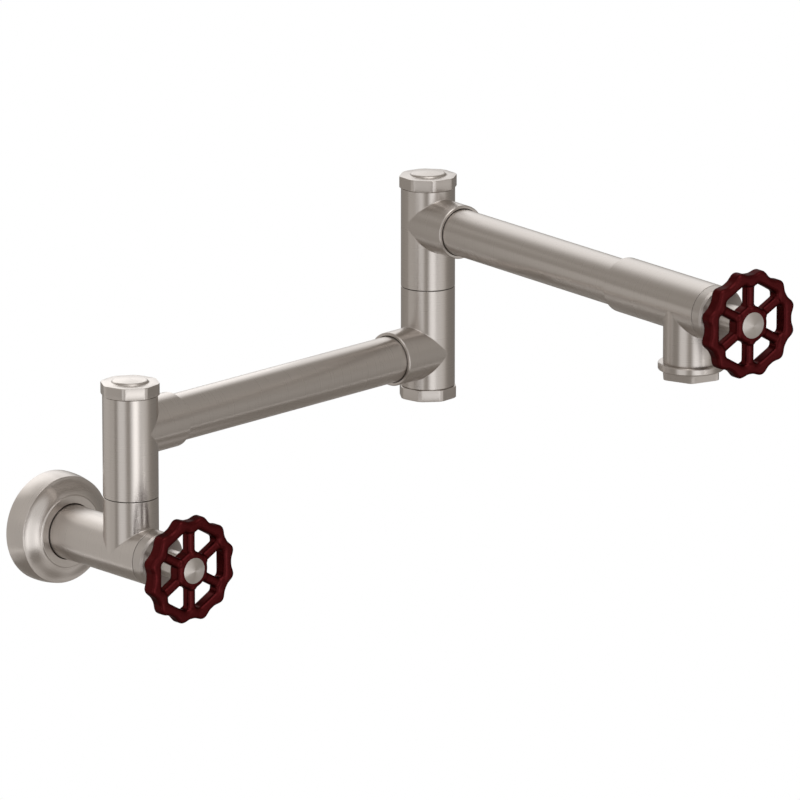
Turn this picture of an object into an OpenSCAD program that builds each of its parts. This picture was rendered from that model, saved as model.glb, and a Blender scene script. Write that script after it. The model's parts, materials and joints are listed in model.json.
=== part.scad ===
// Wall mounted pot filler with two swivelling arms and two handwheel valves.
// Millimetres. The origin is the centre of the flange's back face on the wall, the room is at -Y
// and up is +Z. Arm 1 leaves column 1 along the wall, arm 2 leaves column 2 into the room.

/* [Layout] */
// Distance from the wall to the axis of column 1
wall_reach = 74.4; // [66:0.1:110]
// Height of arm 1 above the wall tube
arm_1_rise = 71.5; // [68:0.1:100]
// Height of arm 2 above arm 1
arm_2_rise = 77.5; // [74:0.1:110]
// Distance between the swivel axes at the two ends of an arm
arm_length = 254; // [180:1:360]
// Angle of arm 1 from the line of the wall at rest, in degrees
arm_1_angle = 7; // [-20:1:9]
// Angle of arm 2 from arm 1 at rest, in degrees
arm_2_angle = -102; // [-150:1:-60]
// Height of the seam of column 1 above the wall tube
seam_1_height = 32.5; // [31:0.1:36]
// Height of the seam of column 2 above arm 1
seam_2_height = 38.8; // [34:0.1:42]

/* [Shells] */
// Outer diameter of the columns, the wall tube, the sockets and the spout
shell_d = 32; // [31.4:0.1:36]
// Outer diameter of the arm tubes
arm_tube_d = 27.6; // [24:0.1:28]
// Wall of the arm tubes
arm_tube_wall = 1.5; // [1:0.1:3]
// Distance from a column's axis to the end of its socket
socket_reach = 33.5; // [30:0.1:45]
// Distance from the spout's axis back to the end of its sleeve
sleeve_reach = 62; // [50:0.5:90]
// Depth of the arm tube in the sleeve
sleeve_depth = 24; // [16:0.5:36]
// Depth of the mouth that holds the ring round a tube
mouth_depth = 1.3; // [1.2:0.05:2]
// Width of the ring round a tube, from the tube to the mouth's wall
tube_ring_w = 1.2; // [0.8:0.05:1.25]
// Bevel on the outer edge of a socket
socket_bevel = 0.5; // [0.2:0.05:0.8]
// Bore of the water ways
way_d = 16; // [12:0.1:17]

/* [Column caps] */
// Size of a cap across its eight flats
cap_flats = 32.4; // [31:0.1:33.3]
// Diameter that the corners of a cap are turned to
cap_corner_d = 34.3; // [33.5:0.1:38]
// Height of a cap's eight-sided part
cap_h = 6.9; // [4:0.1:10]
// Bevel on a cap's lower corners
cap_low_bevel = 0.7; // [0.2:0.05:1.2]
// Bevel on a cap's upper corners
cap_high_bevel = 0.3; // [0.1:0.05:0.8]
// Diameter of the crown on a cap
crown_d = 21; // [14:0.1:28]
// Height of the crown's edge
crown_edge_h = 1.5; // [0.8:0.1:3]
// Rise of the crown's dome above its edge
crown_dome_h = 0.7; // [0.3:0.05:2]
// Angle of the cap on column 1, in degrees
cap_1_turn = 38.5; // [0:0.5:45]
// Angle of the top cap on column 2, in degrees
cap_2_turn = 16.5; // [0:0.5:45]
// Angle of the bottom cap on column 2, in degrees
bottom_cap_turn = 32.5; // [0:0.5:45]
// Diameter of the well that a cap screws into
well_d = 26; // [24.6:0.1:27]
// Height of the plug under a cap
plug_h = 5; // [4:0.1:7]
// Wall of the plug under a cap
plug_wall = 4; // [3:0.1:5]

/* [Flange] */
// Diameter of the flange at the wall
flange_d = 65.2; // [58:0.1:80]
// Diameter of the flange at its front edge
flange_front_d = 63; // [56:0.1:64]
// Distance from the wall to the front edge
flange_edge_reach = 14.3; // [10:0.1:16]
// Distance from the wall to the face of the inner lip
flange_lip_reach = 19.4; // [17.5:0.1:24]
// Outer diameter of the inner lip
flange_lip_d = 41.8; // [38.4:0.1:50]
// Width of the room between the lip's opening and the wall tube
flange_ring_w = 1; // [0.7:0.05:1.5]
// Share of a straight cone in the flange's cove
flange_cove_lean = 0.25; // [0:0.05:0.6]
// Outer diameter of the recess for the gasket
gasket_d = 57; // [50:0.1:57]
// Thickness of the gasket
gasket_h = 2; // [1:0.1:3]

/* [Inlet] */
// Bore of the inlet's pipe thread
inlet_d = 18.6; // [16:0.1:20]
// Depth of the inlet's pipe thread
inlet_depth = 15; // [10:0.1:20]
// Bore from the inlet to the valve seat
seat_way_d = 11; // [8:0.1:13]

/* [Swivels] */
// Diameter of the swivel posts
post_d = 20; // [19:0.1:20.6]
// Bore of the swivel posts
post_bore = 12; // [9:0.1:13]
// Depth of a post's root below the seam
post_root = 14; // [11:0.1:15]
// Diameter of a post's root
post_root_d = 19.2; // [18:0.1:20]
// Diameter of the cross holes in a post
port_d = 8; // [5:0.1:9]
// Height of the ring that feeds the arm from the cross holes
gallery_h = 12; // [9.5:0.1:14]
// Depth of that ring
gallery_depth = 1.2; // [0.8:0.1:1.5]
// Thread at the top of a post
post_thread_d = 16; // [14:0.1:18]
// Outer diameter of the lock nut
lock_nut_d = 24.8; // [22.5:0.1:25.4]
// Height of the lock nut
lock_nut_h = 3.2; // [2:0.1:4]
// Outer diameter of the bush
bush_d = 24; // [22.4:0.1:26]
// Height of the bush
bush_h = 9; // [6:0.1:12]
// Height of the seam between the halves of a column
seam_h = 0.6; // [0.4:0.05:1]
// Distance from the column's face in to the edge of the seam's washer
seam_inset = 1; // [0.6:0.05:2]

/* [Seals] */
// Width of a seal's groove
groove_w = 2.4; // [2:0.1:3]
// Depth of a seal's groove on the large diameters
groove_depth = 1.6; // [1.2:0.05:1.8]
// Width of a stem seal's groove
stem_groove_w = 1.5; // [1.2:0.1:2]
// Depth of a stem seal's groove
stem_groove_depth = 1; // [0.8:0.05:1.2]
// Metal left beside a groove
land = 0.9; // [0.6:0.05:1.2]

/* [Valves] */
// Distance from a column's axis to the seam behind the bonnet
bonnet_seam_reach = 20.3; // [19.6:0.1:26]
// Length of the bonnet
bonnet_length = 8; // [6.5:0.1:12]
// Bevel on the bonnet's front edge
bonnet_bevel = 1.2; // [0.5:0.05:2]
// Thickness of the bonnet's front wall
bonnet_front_wall = 3; // [2:0.1:4]
// Height of the fine seam behind the bonnet
bonnet_seam_h = 0.3; // [0.2:0.05:0.6]
// Bore of the valve chamber
chamber_d = 21; // [20:0.1:23]
// Bore of the mouth that the bonnet screws into
bonnet_thread_d = 26; // [24.8:0.1:27]
// Depth of that mouth
bonnet_thread_depth = 8; // [7:0.1:9]
// Thickness of the cartridge's flange
cartridge_flange_h = 2; // [1.5:0.1:3]
// Diameter of the cartridge's neck
cartridge_neck_d = 14; // [12:0.1:15.6]
// Wall of the cartridge round its discs
cartridge_wall = 1.75; // [1.65:0.05:2.2]
// Diameter of the side windows in the cartridge
window_d = 4.4; // [3:0.1:5]
// Thickness of a ceramic disc
disc_h = 3; // [2.5:0.1:3.5]
// Diameter of the ports in a ceramic disc
disc_port_d = 3.8; // [2.5:0.1:4.2]
// Distance of those ports from the valve's axis
disc_port_reach = 5.2; // [4.9:0.1:5.6]
// Thickness of the seat's seal
seat_seal_h = 1.8; // [1.2:0.1:2.5]
// Width of the seat seal's ring
seat_seal_w = 2.4; // [1.5:0.1:2.6]
// Diameter of the stem
stem_d = 8; // [7.6:0.1:9]
// Width of the stem's square drive
drive_w = 5.5; // [5:0.1:5.6]
// Diameter of the stem's thrust collar
stem_collar_d = 13; // [11:0.1:15]
// Thickness of the stem's thrust collar
stem_collar_h = 2.4; // [1.5:0.1:3]
// Width of the tang that turns the upper disc
tang_w = 4; // [3:0.1:4.6]
// Length of that tang
tang_l = 12; // [9:0.1:14]
// Depth of the tang in the upper disc
tang_depth = 1.8; // [1:0.1:2.2]

/* [Handwheels] */
// Distance from a column's axis to the back of the wheel's hub
wheel_reach = 47; // [44:0.1:60]
// Radius of the wheel at its twelve peaks
wheel_peak_r = 31.2; // [29:0.1:36]
// Radius of the wheel at its hollows
wheel_hollow_r = 28.8; // [27:0.1:29.2]
// Inner radius of the rim
rim_inner_r = 21.2; // [18:0.1:24]
// Radius of the hub
hub_r = 11.4; // [9.6:0.1:13]
// Width of a spoke
spoke_w = 4.9; // [3.5:0.1:6]
// Rounding of a window's outer corners
window_outer_round = 2.8; // [1:0.1:4]
// Rounding of a window's inner corners
window_inner_round = 1.5; // [0.6:0.1:2]
// Thickness of the rim
rim_t = 9.3; // [7.5:0.1:9.6]
// Thickness of the spokes
spoke_t = 7.2; // [5:0.1:8.8]
// Thickness of the hub
hub_t = 9.7; // [8.6:0.1:11.5]
// Number of peaks on the rim
peaks = 12; // [6:6:18]
// Number of spokes
spokes = 6; // [3:1:6]
// Diameter of the neck behind the wheel
neck_d = 16; // [13:0.1:18]
// Diameter of the neck's end inside the hub
neck_end_d = 11; // [10:0.1:13]
// Length of the neck's end inside the hub
neck_end_h = 3.5; // [2.5:0.1:4]
// Wall at the neck's end
neck_end_wall = 1.5; // [1:0.1:2]
// Thickness of the hub's web under the screw
hub_web = 1.3; // [1:0.1:1.6]
// Diameter of the wheel's cap
hub_cap_d = 15.1; // [12:0.1:18]
// Thickness of the wheel's cap
hub_cap_h = 1.3; // [0.8:0.1:2]
// Bevel on the small turned edges
small_bevel = 0.3; // [0.1:0.05:0.6]
// Height of the plug behind the cap
hub_plug_h = 0.9; // [0.5:0.1:1.2]
// Diameter of the wheel's screw
screw_d = 4; // [3:0.1:4.2]
// Length of the screw in the stem
screw_hold = 10; // [6:0.5:14]
// Diameter of the screw's head
screw_head_d = 6.8; // [6:0.1:9]
// Height of the screw's head
screw_head_h = 1.6; // [1:0.1:1.7]
// Width of the slot in the screw's head
screw_slot_w = 1; // [0.6:0.1:1.4]

/* [Spout] */
// Distance from arm 2's axis down to the end of the spout
spout_drop = 32.5; // [30:0.1:45]
// Diameter of the round ring of the aerator nut
nut_ring_d = 37.8; // [34:0.1:42]
// Height of that ring
nut_ring_h = 4.2; // [3:0.1:6]
// Rounding of the ring's edges
nut_ring_round = 0.4; // [0.2:0.05:0.8]
// Size of the hexagon across its flats
nut_flats = 31.5; // [30:0.1:34]
// Diameter that the hexagon's corners are turned to
nut_corner_d = 35.8; // [34.5:0.1:37]
// Height of the hexagon
nut_hex_h = 4.6; // [3:0.1:8]
// Angle of the hexagon, in degrees
nut_turn = 48.5; // [0:0.5:60]
// Diameter of the thread in the spout
spout_thread_d = 25; // [24.4:0.1:27]
// Length of the nut's thread in the spout
spout_thread_h = 8.5; // [6:0.1:10]
// Bore of the aerator nut
nut_bore = 20.4; // [18:0.1:21]
// Lip at the foot of the nut's bore
nut_lip = 0.8; // [0.5:0.1:1.2]
// Height of that lip
nut_lip_h = 1; // [0.6:0.1:1.5]
// Height of the aerator insert
insert_h = 12; // [8:0.1:14]
// Thickness of the insert's sieve
sieve_h = 2; // [1:0.1:3]
// Wall of the insert
insert_wall = 1.2; // [0.8:0.1:1.5]
// Diameter of a hole in the sieve
sieve_hole_d = 1.6; // [1:0.1:2]
// Thickness of the aerator's washer
aerator_washer_h = 1.6; // [1:0.1:2]

/* [Fits] */
// Radial gap between pieces that are fixed in each other
fit_gap = 0.05; // [0.03:0.01:0.08]
// Gap between pieces that turn on each other
run_gap = 0.08; // [0.05:0.01:0.1]
// Gap between the wall tube and the flange
flange_gap = 0.15; // [0.1:0.05:0.3]
// Gap left between the ends of pieces that must not press
end_gap = 0.3; // [0.2:0.05:0.4]

/* [Hidden] */
$fn = 96;
ring_fn = 32;
overrun = 2;
full_turn = 360;
half_turn = 180;
quarter = 90;
hexagon = 6;
octagon = 8;
cove_steps = 12;
side_steps = 6;
window_steps = 6;
outline_steps = 12;
// Sharpness of the wheel's peaks against its broad hollows
peak_share = 1.5;
// Size of the lock nut across its flats, as a share of its outer diameter
lock_nut_share = 0.9;

// Metal and rubber colours
nickel = [0.68, 0.65, 0.62];
brass = [0.78, 0.62, 0.33];
burgundy = [0.30, 0.06, 0.07];
black_rubber = [0.10, 0.10, 0.10];
white_plastic = [0.92, 0.92, 0.90];
ceramic = [0.95, 0.93, 0.88];

// Radii
shell_r = shell_d / 2;
tube_r = arm_tube_d / 2;
way_r = way_d / 2;
post_r = post_d / 2;
well_r = well_d / 2;
chamber_r = chamber_d / 2;
bonnet_thread_r = bonnet_thread_d / 2;
stem_r = stem_d / 2;

// Heights in a column's turning half, measured from its arm's axis
ring_offset = way_r + land + groove_w / 2;
shoulder_h = ring_offset + groove_w / 2 + land;
lock_nut_top = shoulder_h + run_gap + lock_nut_h;
post_top = lock_nut_top + end_gap;
plug_foot = post_top + 2 * end_gap;
column_top = plug_foot + plug_h;
head_1_axis = arm_1_rise - seam_1_height;
head_2_axis = arm_2_rise - seam_2_height;

// Seal on the post and in the caps: groove floor, ring section and ring circle
post_seal_floor = post_r - groove_depth;
post_seal_r = (post_r + run_gap - post_seal_floor - run_gap) / 2;
post_seal_mid = (post_r + run_gap + post_seal_floor) / 2;
plug_r = well_r - fit_gap;
plug_seal_floor = plug_r - groove_depth;
plug_seal_r = (well_r - plug_seal_floor - run_gap) / 2;
plug_seal_mid = (well_r + plug_seal_floor) / 2;

// Socket for an arm tube
tube_bore_r = tube_r + fit_gap;
socket_floor = shell_r + fit_gap;
tube_start = socket_floor + end_gap;
mouth_r = tube_r + tube_ring_w;
tube_seal_r = (mouth_r - tube_r - run_gap) / 2;
tube_seal_mid = (mouth_r + tube_r) / 2;
sleeve_floor = sleeve_reach - sleeve_depth;

// Valve, measured along its axis from the column's axis towards the wheel
disc_room = end_gap / 2;
moving_top = -(window_d / 2 + disc_room);
moving_foot = moving_top - disc_h;
fixed_top = moving_foot - fit_gap;
fixed_foot = fixed_top - disc_h;
seat_reach = fixed_foot - seat_seal_h;
cavity_top = window_d / 2 + disc_room + stem_collar_h + run_gap;
cartridge_r = chamber_r - fit_gap;
cavity_r = cartridge_r - cartridge_wall;
disc_r = cavity_r - fit_gap;
cartridge_shoulder = bonnet_seam_reach - bonnet_thread_depth;
cartridge_flange_top = cartridge_shoulder + cartridge_flange_h;
cartridge_seal_reach = (cavity_top + cartridge_shoulder) / 2;
cartridge_seal_floor = cartridge_r - groove_depth;
cartridge_seal_r = (chamber_r - cartridge_seal_floor - run_gap) / 2;
cartridge_seal_mid = (chamber_r + cartridge_seal_floor) / 2;
bonnet_back = bonnet_seam_reach + bonnet_seam_h;
bonnet_face = bonnet_seam_reach + bonnet_length;
bonnet_wall_back = bonnet_face - bonnet_front_wall;
cartridge_neck_top = bonnet_wall_back + bonnet_front_wall / 2;
stem_seal_floor = stem_r - stem_groove_depth;
stem_seal_r = (stem_r + run_gap - stem_seal_floor - run_gap) / 2;
stem_seal_mid = (stem_r + run_gap + stem_seal_floor) / 2;
stem_seals = [cavity_top + land + stem_groove_w, cavity_top + 2 * land + 3 * stem_groove_w];

// Handwheel, along the same axis
neck_back = bonnet_face + end_gap;
neck_front = wheel_reach + neck_end_h;
stem_top = neck_front - neck_end_wall - end_gap;
drive_start = cartridge_neck_top + end_gap;
web_front = neck_front + fit_gap + hub_web;
hub_front = wheel_reach + hub_t;
hub_bore_r = neck_end_d / 2 + fit_gap;
rim_back = wheel_reach + (hub_t - rim_t) / 2;
spoke_back = wheel_reach + (hub_t - spoke_t) / 2;

// Spout, measured down from arm 2's axis
nut_ring_foot = spout_drop + nut_ring_h;
nut_foot = nut_ring_foot + nut_hex_h;
nut_thread_top = spout_drop - spout_thread_h;
spout_thread_floor = nut_thread_top - aerator_washer_h - fit_gap;
insert_foot = nut_foot - nut_lip_h;
insert_r = nut_bore / 2 - fit_gap;

// Frames. The valve frames have +Z along the valve towards the wheel and +Y up
module from_wall() { rotate([quarter, 0, 0]) children(); }
module at_column_1() { translate([0, -wall_reach, 0]) children(); }
module at_shutoff() { at_column_1() rotate([quarter, 0, 0]) children(); }
module at_seam_1() { at_column_1() translate([0, 0, seam_1_height]) children(); }
module at_arm_1() { at_column_1() translate([0, 0, arm_1_rise]) rotate([0, 0, arm_1_angle]) children(); }
module at_arm_1_end() { at_arm_1() translate([arm_length, 0, 0]) children(); }
module at_seam_2() { at_arm_1_end() translate([0, 0, seam_2_height]) children(); }
module at_arm_2() { at_arm_1_end() translate([0, 0, arm_2_rise]) rotate([0, 0, arm_2_angle]) children(); }
module at_spout() { at_arm_2() translate([arm_length, 0, 0]) children(); }
module at_outlet() { at_spout() rotate([quarter, 0, quarter]) children(); }

// Round bar, tube and seal ring about Z
module bar(r, z0, z1) { translate([0, 0, z0]) cylinder(r = r, h = z1 - z0); }
module tube(r_out, r_in, z0, z1) {
    difference() {
        bar(r_out, z0, z1);
        bar(r_in, z0 - overrun, z1 + overrun);
    }
}
module seal_ring(r_mid, r_section, z) {
    translate([0, 0, z]) rotate_extrude() translate([r_mid, 0]) circle(r = r_section, $fn = ring_fn);
}
module groove(r_out, r_floor, z, width) {
    tube(r_out + overrun, r_floor, z - width / 2, z + width / 2);
}
// Bar whose ends are bevelled, as turned on a lathe
module turned(r, z0, z1, bevel_0, bevel_1) {
    rotate_extrude() polygon([
        [0, z0], [r - bevel_0, z0], [r, z0 + bevel_0],
        [r, z1 - bevel_1], [r - bevel_1, z1], [0, z1]]);
}
// Outer shell of a column, tube or spout. Its seam is turned away from where two shells touch
module shell(z0, z1) { rotate([0, 0, quarter / 2]) bar(shell_r, z0, z1); }
module shell_to_mouth(z0, z1) {
    rotate([0, 0, quarter / 2]) turned(shell_r, z0, z1, socket_bevel, 0);
}
// Bar along +X
module bar_x(r, x0, x1) { rotate([quarter, 0, quarter]) bar(r, x0, x1); }
// Prism with flats, its corners turned off
module nut_block(sides, flats, corner_d, h, bevel_0, bevel_1, turn) {
    intersection() {
        rotate([0, 0, turn]) cylinder(d = flats / cos(half_turn / sides), h = h, $fn = sides);
        turned(corner_d / 2, 0, h, bevel_0, bevel_1);
    }
}

// Socket that an arm tube enters from +X; its open end lies at x_end
module socket_bore(x_floor, x_end) {
    bar_x(way_r, 0, x_floor + overrun);
    bar_x(tube_bore_r, x_floor, x_end + overrun);
    bar_x(mouth_r, x_end - mouth_depth, x_end + overrun);
}
module socket_shell(x_end) {
    rotate([quarter, 0, -quarter]) shell_to_mouth(-x_end, 0);
}
// Well and plug of a screwed cap, from the column's end down
module cap_well(depth) { bar(well_r, -depth, overrun); }
module screw_cap(turn) {
    plug_seal_h = -plug_h / 2;
    difference() {
        union() {
            nut_block(octagon, cap_flats, cap_corner_d, cap_h, cap_low_bevel, cap_high_bevel, turn);
            crown();
            bar(plug_r, -plug_h, overrun);
        }
        bar(plug_r - plug_wall, -plug_h - overrun, 0);
        groove(plug_r, plug_seal_floor, plug_seal_h, groove_w);
    }
}
module crown() {
    dome_r = (pow(crown_d / 2, 2) + pow(crown_dome_h, 2)) / (2 * crown_dome_h);
    top = cap_h + crown_edge_h + crown_dome_h;
    intersection() {
        bar(crown_d / 2, 0, top + overrun);
        translate([0, 0, top - dome_r]) sphere(r = dome_r, $fn = 4 * $fn);
    }
}
module cap_seal() { seal_ring(plug_seal_mid, plug_seal_r, -plug_h / 2); }

// Turning half of a column, from the seam up; axis_h is the height of its arm above the seam
module column_head(axis_h) {
    difference() {
        union() {
            shell(seam_h, axis_h + column_top);
            translate([0, 0, axis_h]) socket_shell(socket_reach);
        }
        bar(post_r + run_gap, -overrun, axis_h + column_top);
        bar(bush_d / 2, -overrun, seam_h + bush_h);
        translate([0, 0, axis_h + column_top]) cap_well(column_top - shoulder_h);
        translate([0, 0, axis_h]) socket_bore(socket_floor, socket_reach);
    }
}
module bush() { tube(bush_d / 2 - fit_gap, post_r + run_gap, seam_h, seam_h + bush_h - fit_gap); }

// Swivel post, from the seam up
module swivel_post(axis_h) {
    difference() {
        union() {
            bar(post_root_d / 2, -post_root, 0);
            bar(post_r, 0, axis_h + shoulder_h);
            bar(post_thread_d / 2, 0, axis_h + post_top);
        }
        bar(post_bore / 2, -post_root - overrun, axis_h + ring_offset);
        groove(post_r, post_r - gallery_depth, axis_h, gallery_h);
        for (side = [0, quarter])
            translate([0, 0, axis_h]) rotate([quarter, 0, side])
                bar(port_d / 2, -shell_r, shell_r);
        for (offset_h = [-ring_offset, ring_offset])
            groove(post_r, post_seal_floor, axis_h + offset_h, groove_w);
    }
}
module post_seals(axis_h) {
    for (offset_h = [-ring_offset, ring_offset])
        seal_ring(post_seal_mid, post_seal_r, axis_h + offset_h);
}
module seam_washer() { tube(shell_r - seam_inset, post_r + run_gap, 0, seam_h - run_gap); }
module lock_nut(axis_h) {
    foot = axis_h + shoulder_h + run_gap;
    difference() {
        translate([0, 0, foot]) nut_block(hexagon, lock_nut_share * lock_nut_d, lock_nut_d,
            lock_nut_h, end_gap, end_gap, 0);
        bar(post_thread_d / 2 + fit_gap, foot - overrun, foot + lock_nut_h + overrun);
    }
}

// Valve chamber as a cut, and the pieces of the quarter-turn cartridge
module chamber_cut() {
    bar(chamber_r, seat_reach, bonnet_seam_reach + overrun);
    bar(bonnet_thread_r, cartridge_shoulder, bonnet_seam_reach + overrun);
}
module cartridge() {
    difference() {
        union() {
            bar(cartridge_r, fixed_foot, cartridge_flange_top);
            bar(bonnet_thread_r - fit_gap, cartridge_shoulder, cartridge_flange_top);
            bar(cartridge_neck_d / 2, cartridge_shoulder, cartridge_neck_top);
        }
        bar(cavity_r, fixed_foot - overrun, cavity_top);
        bar(stem_r + run_gap, 0, cartridge_neck_top + overrun);
        for (side = [0, quarter])
            rotate([quarter, 0, side]) bar(window_d / 2, -shell_r, shell_r);
        groove(cartridge_r, cartridge_seal_floor, cartridge_seal_reach, groove_w);
    }
}
module disc_ports(turn) {
    for (side = [0, half_turn])
        rotate([0, 0, turn + side]) translate([disc_port_reach, 0, 0])
            bar(disc_port_d / 2, fixed_foot - overrun, moving_top + overrun);
}
module fixed_disc() {
    difference() {
        bar(disc_r, fixed_foot, fixed_top);
        disc_ports(0);
    }
}
module moving_disc() {
    slot_w = tang_w + 2 * fit_gap;
    slot_l = tang_l + 2 * fit_gap;
    slot_depth = tang_depth + fit_gap;
    difference() {
        bar(disc_r, moving_foot, moving_top);
        disc_ports(quarter);
        translate([-slot_l / 2, -slot_w / 2, moving_top - slot_depth])
            cube([slot_l, slot_w, slot_depth + overrun]);
    }
}
module seat_seal() {
    tube(cavity_r, cavity_r - seat_seal_w, seat_reach, fixed_foot);
}
module cartridge_seal() { seal_ring(cartridge_seal_mid, cartridge_seal_r, cartridge_seal_reach); }
module stem() {
    collar_foot = cavity_top - run_gap - stem_collar_h;
    tang_foot = moving_top - tang_depth;
    difference() {
        union() {
            translate([-tang_l / 2, -tang_w / 2, tang_foot])
                cube([tang_l, tang_w, collar_foot - tang_foot + stem_collar_h / 2]);
            bar(stem_collar_d / 2, collar_foot, collar_foot + stem_collar_h);
            bar(stem_r, collar_foot, drive_start);
            translate([-drive_w / 2, -drive_w / 2, collar_foot])
                cube([drive_w, drive_w, stem_top - collar_foot]);
        }
        for (reach = stem_seals) groove(stem_r, stem_seal_floor, reach, stem_groove_w);
        bar(screw_d / 2 + fit_gap, stem_top - screw_hold - end_gap, stem_top + overrun);
    }
}
module stem_seal_pair() {
    for (reach = stem_seals) seal_ring(stem_seal_mid, stem_seal_r, reach);
}
module bonnet() {
    spigot_foot = cartridge_flange_top + fit_gap;
    bonnet_hole_r = neck_d / 2 + end_gap;
    difference() {
        union() {
            turned(shell_r, bonnet_back, bonnet_face, 0, bonnet_bevel);
            bar(bonnet_thread_r - fit_gap, spigot_foot, bonnet_back + overrun);
        }
        bar(cartridge_neck_d / 2 + end_gap, spigot_foot - overrun, bonnet_face + overrun);
        bar(bonnet_hole_r, spigot_foot - overrun, bonnet_wall_back);
    }
}

// Handwheel
function arc(mid, r, from, to, steps) = [for (i = [0:steps])
    mid + r * [cos(from + (to - from) * i / steps), sin(from + (to - from) * i / steps)]];
function polar(r, angle) = [r * cos(angle), r * sin(angle)];
// Smooth wave with narrow peaks and broad hollows
function wave_r(angle) = wheel_hollow_r + (wheel_peak_r - wheel_hollow_r)
    * pow((1 - cos(peaks * angle)) / 2, peak_share);
module wheel_outline() {
    count = peaks * outline_steps;
    polygon([for (i = [0:count - 1]) polar(wave_r(full_turn * i / count), full_turn * i / count)]);
}
// Window centred on +X between two spokes
module window_outline() {
    half = full_turn / spokes / 2;
    outer_mid = rim_inner_r - window_outer_round;
    inner_mid = hub_r + window_inner_round;
    outer_angle = half - asin((spoke_w / 2 + window_outer_round) / outer_mid);
    inner_angle = half - asin((spoke_w / 2 + window_inner_round) / inner_mid);
    polygon(concat(
        arc([0, 0], rim_inner_r, -outer_angle, outer_angle, 2 * window_steps),
        arc(polar(outer_mid, outer_angle), window_outer_round,
            outer_angle, half + quarter, window_steps),
        arc(polar(inner_mid, inner_angle), window_inner_round,
            half + quarter, half_turn + inner_angle, window_steps),
        arc([0, 0], hub_r, inner_angle, -inner_angle, window_steps),
        arc(polar(inner_mid, -inner_angle), window_inner_round,
            half_turn - inner_angle, full_turn - half - quarter, window_steps),
        arc(polar(outer_mid, -outer_angle), window_outer_round,
            -half - quarter, -outer_angle, window_steps)));
}
module handwheel() {
    difference() {
        union() {
            translate([0, 0, rim_back]) linear_extrude(rim_t) difference() {
                wheel_outline();
                circle(r = rim_inner_r - window_outer_round);
            }
            translate([0, 0, spoke_back]) linear_extrude(spoke_t)
                circle(r = (rim_inner_r + wheel_hollow_r) / 2);
            bar(hub_r, wheel_reach, hub_front);
        }
        for (i = [0:spokes - 1])
            rotate([0, 0, full_turn * i / spokes]) translate([0, 0, wheel_reach - overrun])
                linear_extrude(hub_t + 2 * overrun) window_outline();
        bar(hub_bore_r, wheel_reach - overrun, neck_front + fit_gap);
        bar(screw_d / 2 + 2 * fit_gap, wheel_reach, hub_front);
        bar(hub_bore_r, web_front, hub_front + overrun);
    }
}
module wheel_neck() {
    drive_hole = drive_w + 2 * fit_gap;
    difference() {
        union() {
            turned(neck_d / 2, neck_back, wheel_reach - fit_gap, small_bevel, small_bevel);
            bar(neck_end_d / 2, neck_back + overrun, neck_front);
        }
        translate([-drive_hole / 2, -drive_hole / 2, neck_back - overrun])
            cube([drive_hole, drive_hole, stem_top + end_gap - neck_back + overrun]);
        bar(screw_d / 2 + 2 * fit_gap, neck_back, neck_front + overrun);
    }
}
module wheel_screw() {
    head_top = web_front + screw_head_h;
    slot_depth = screw_head_h / 2;
    difference() {
        union() {
            bar(screw_d / 2, stem_top - screw_hold, head_top);
            bar(screw_head_d / 2, web_front, head_top);
        }
        translate([-screw_head_d, -screw_slot_w / 2, head_top - slot_depth])
            cube([2 * screw_head_d, screw_slot_w, slot_depth + overrun]);
    }
}
module wheel_cap() {
    turned(hub_cap_d / 2, hub_front, hub_front + hub_cap_h, 0, small_bevel);
    bar(neck_end_d / 2, hub_front - hub_plug_h, hub_front + small_bevel);
}

// Wall side
module wall_flange() {
    lip_r = flange_lip_d / 2;
    front_r = flange_front_d / 2;
    cove_w = front_r - lip_r;
    cove_h = flange_lip_reach - small_bevel - flange_edge_reach;
    flare = (flange_d - flange_front_d) / 2;
    cove = [for (i = [0:cove_steps]) let (turn = quarter * i / cove_steps) [
        front_r - cove_w * sin(turn),
        flange_edge_reach + cove_h * (flange_cove_lean * sin(turn)
            + (1 - flange_cove_lean) * (1 - cos(turn)))]];
    side = [for (i = [0:side_steps]) [
        front_r + flare * (1 - i / side_steps) + flare / 2 * sin(half_turn * i / side_steps),
        flange_edge_reach * i / side_steps]];
    color(nickel) from_wall() difference() {
        rotate_extrude() polygon(concat([[0, 0]], side, [for (i = [1:cove_steps]) cove[i]],
            [[lip_r - small_bevel, flange_lip_reach], [0, flange_lip_reach]]));
        bar(shell_r + flange_gap, -overrun, flange_lip_reach + overrun);
        bar(shell_r + flange_ring_w, flange_lip_reach - groove_w, flange_lip_reach + overrun);
        bar(gasket_d / 2 + fit_gap, -overrun, gasket_h);
    }
}
module wall_gasket() {
    color(black_rubber) from_wall() tube(gasket_d / 2, shell_r + 2 * end_gap, 0, gasket_h - fit_gap);
}
module flange_o_ring() {
    ring_reach = flange_lip_reach - groove_w / 2;
    color(black_rubber) from_wall()
        seal_ring(shell_r + flange_ring_w / 2, (flange_ring_w - run_gap) / 2, ring_reach);
}
module shutoff_body() {
    back = -wall_reach;
    color(nickel) difference() {
        union() {
            at_shutoff() shell(back, bonnet_seam_reach);
            at_column_1() shell(0, seam_1_height);
        }
        at_column_1() bar(way_r, 0, seam_1_height + overrun);
        at_seam_1() bar(post_root_d / 2 + fit_gap, -post_root - fit_gap, overrun);
        at_shutoff() bar(inlet_d / 2, back - overrun, back + inlet_depth);
        at_shutoff() bar(seat_way_d / 2, back, 0);
        at_shutoff() chamber_cut();
    }
}
module shutoff_cartridge() { color(brass) at_shutoff() cartridge(); }
module shutoff_fixed_disc() { color(ceramic) at_shutoff() fixed_disc(); }
module shutoff_seat_seal() { color(black_rubber) at_shutoff() seat_seal(); }
module shutoff_cartridge_o_ring() { color(black_rubber) at_shutoff() cartridge_seal(); }
module shutoff_bonnet() { color(nickel) at_shutoff() bonnet(); }
module swivel_1_post() { color(brass) at_seam_1() swivel_post(head_1_axis); }
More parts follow.
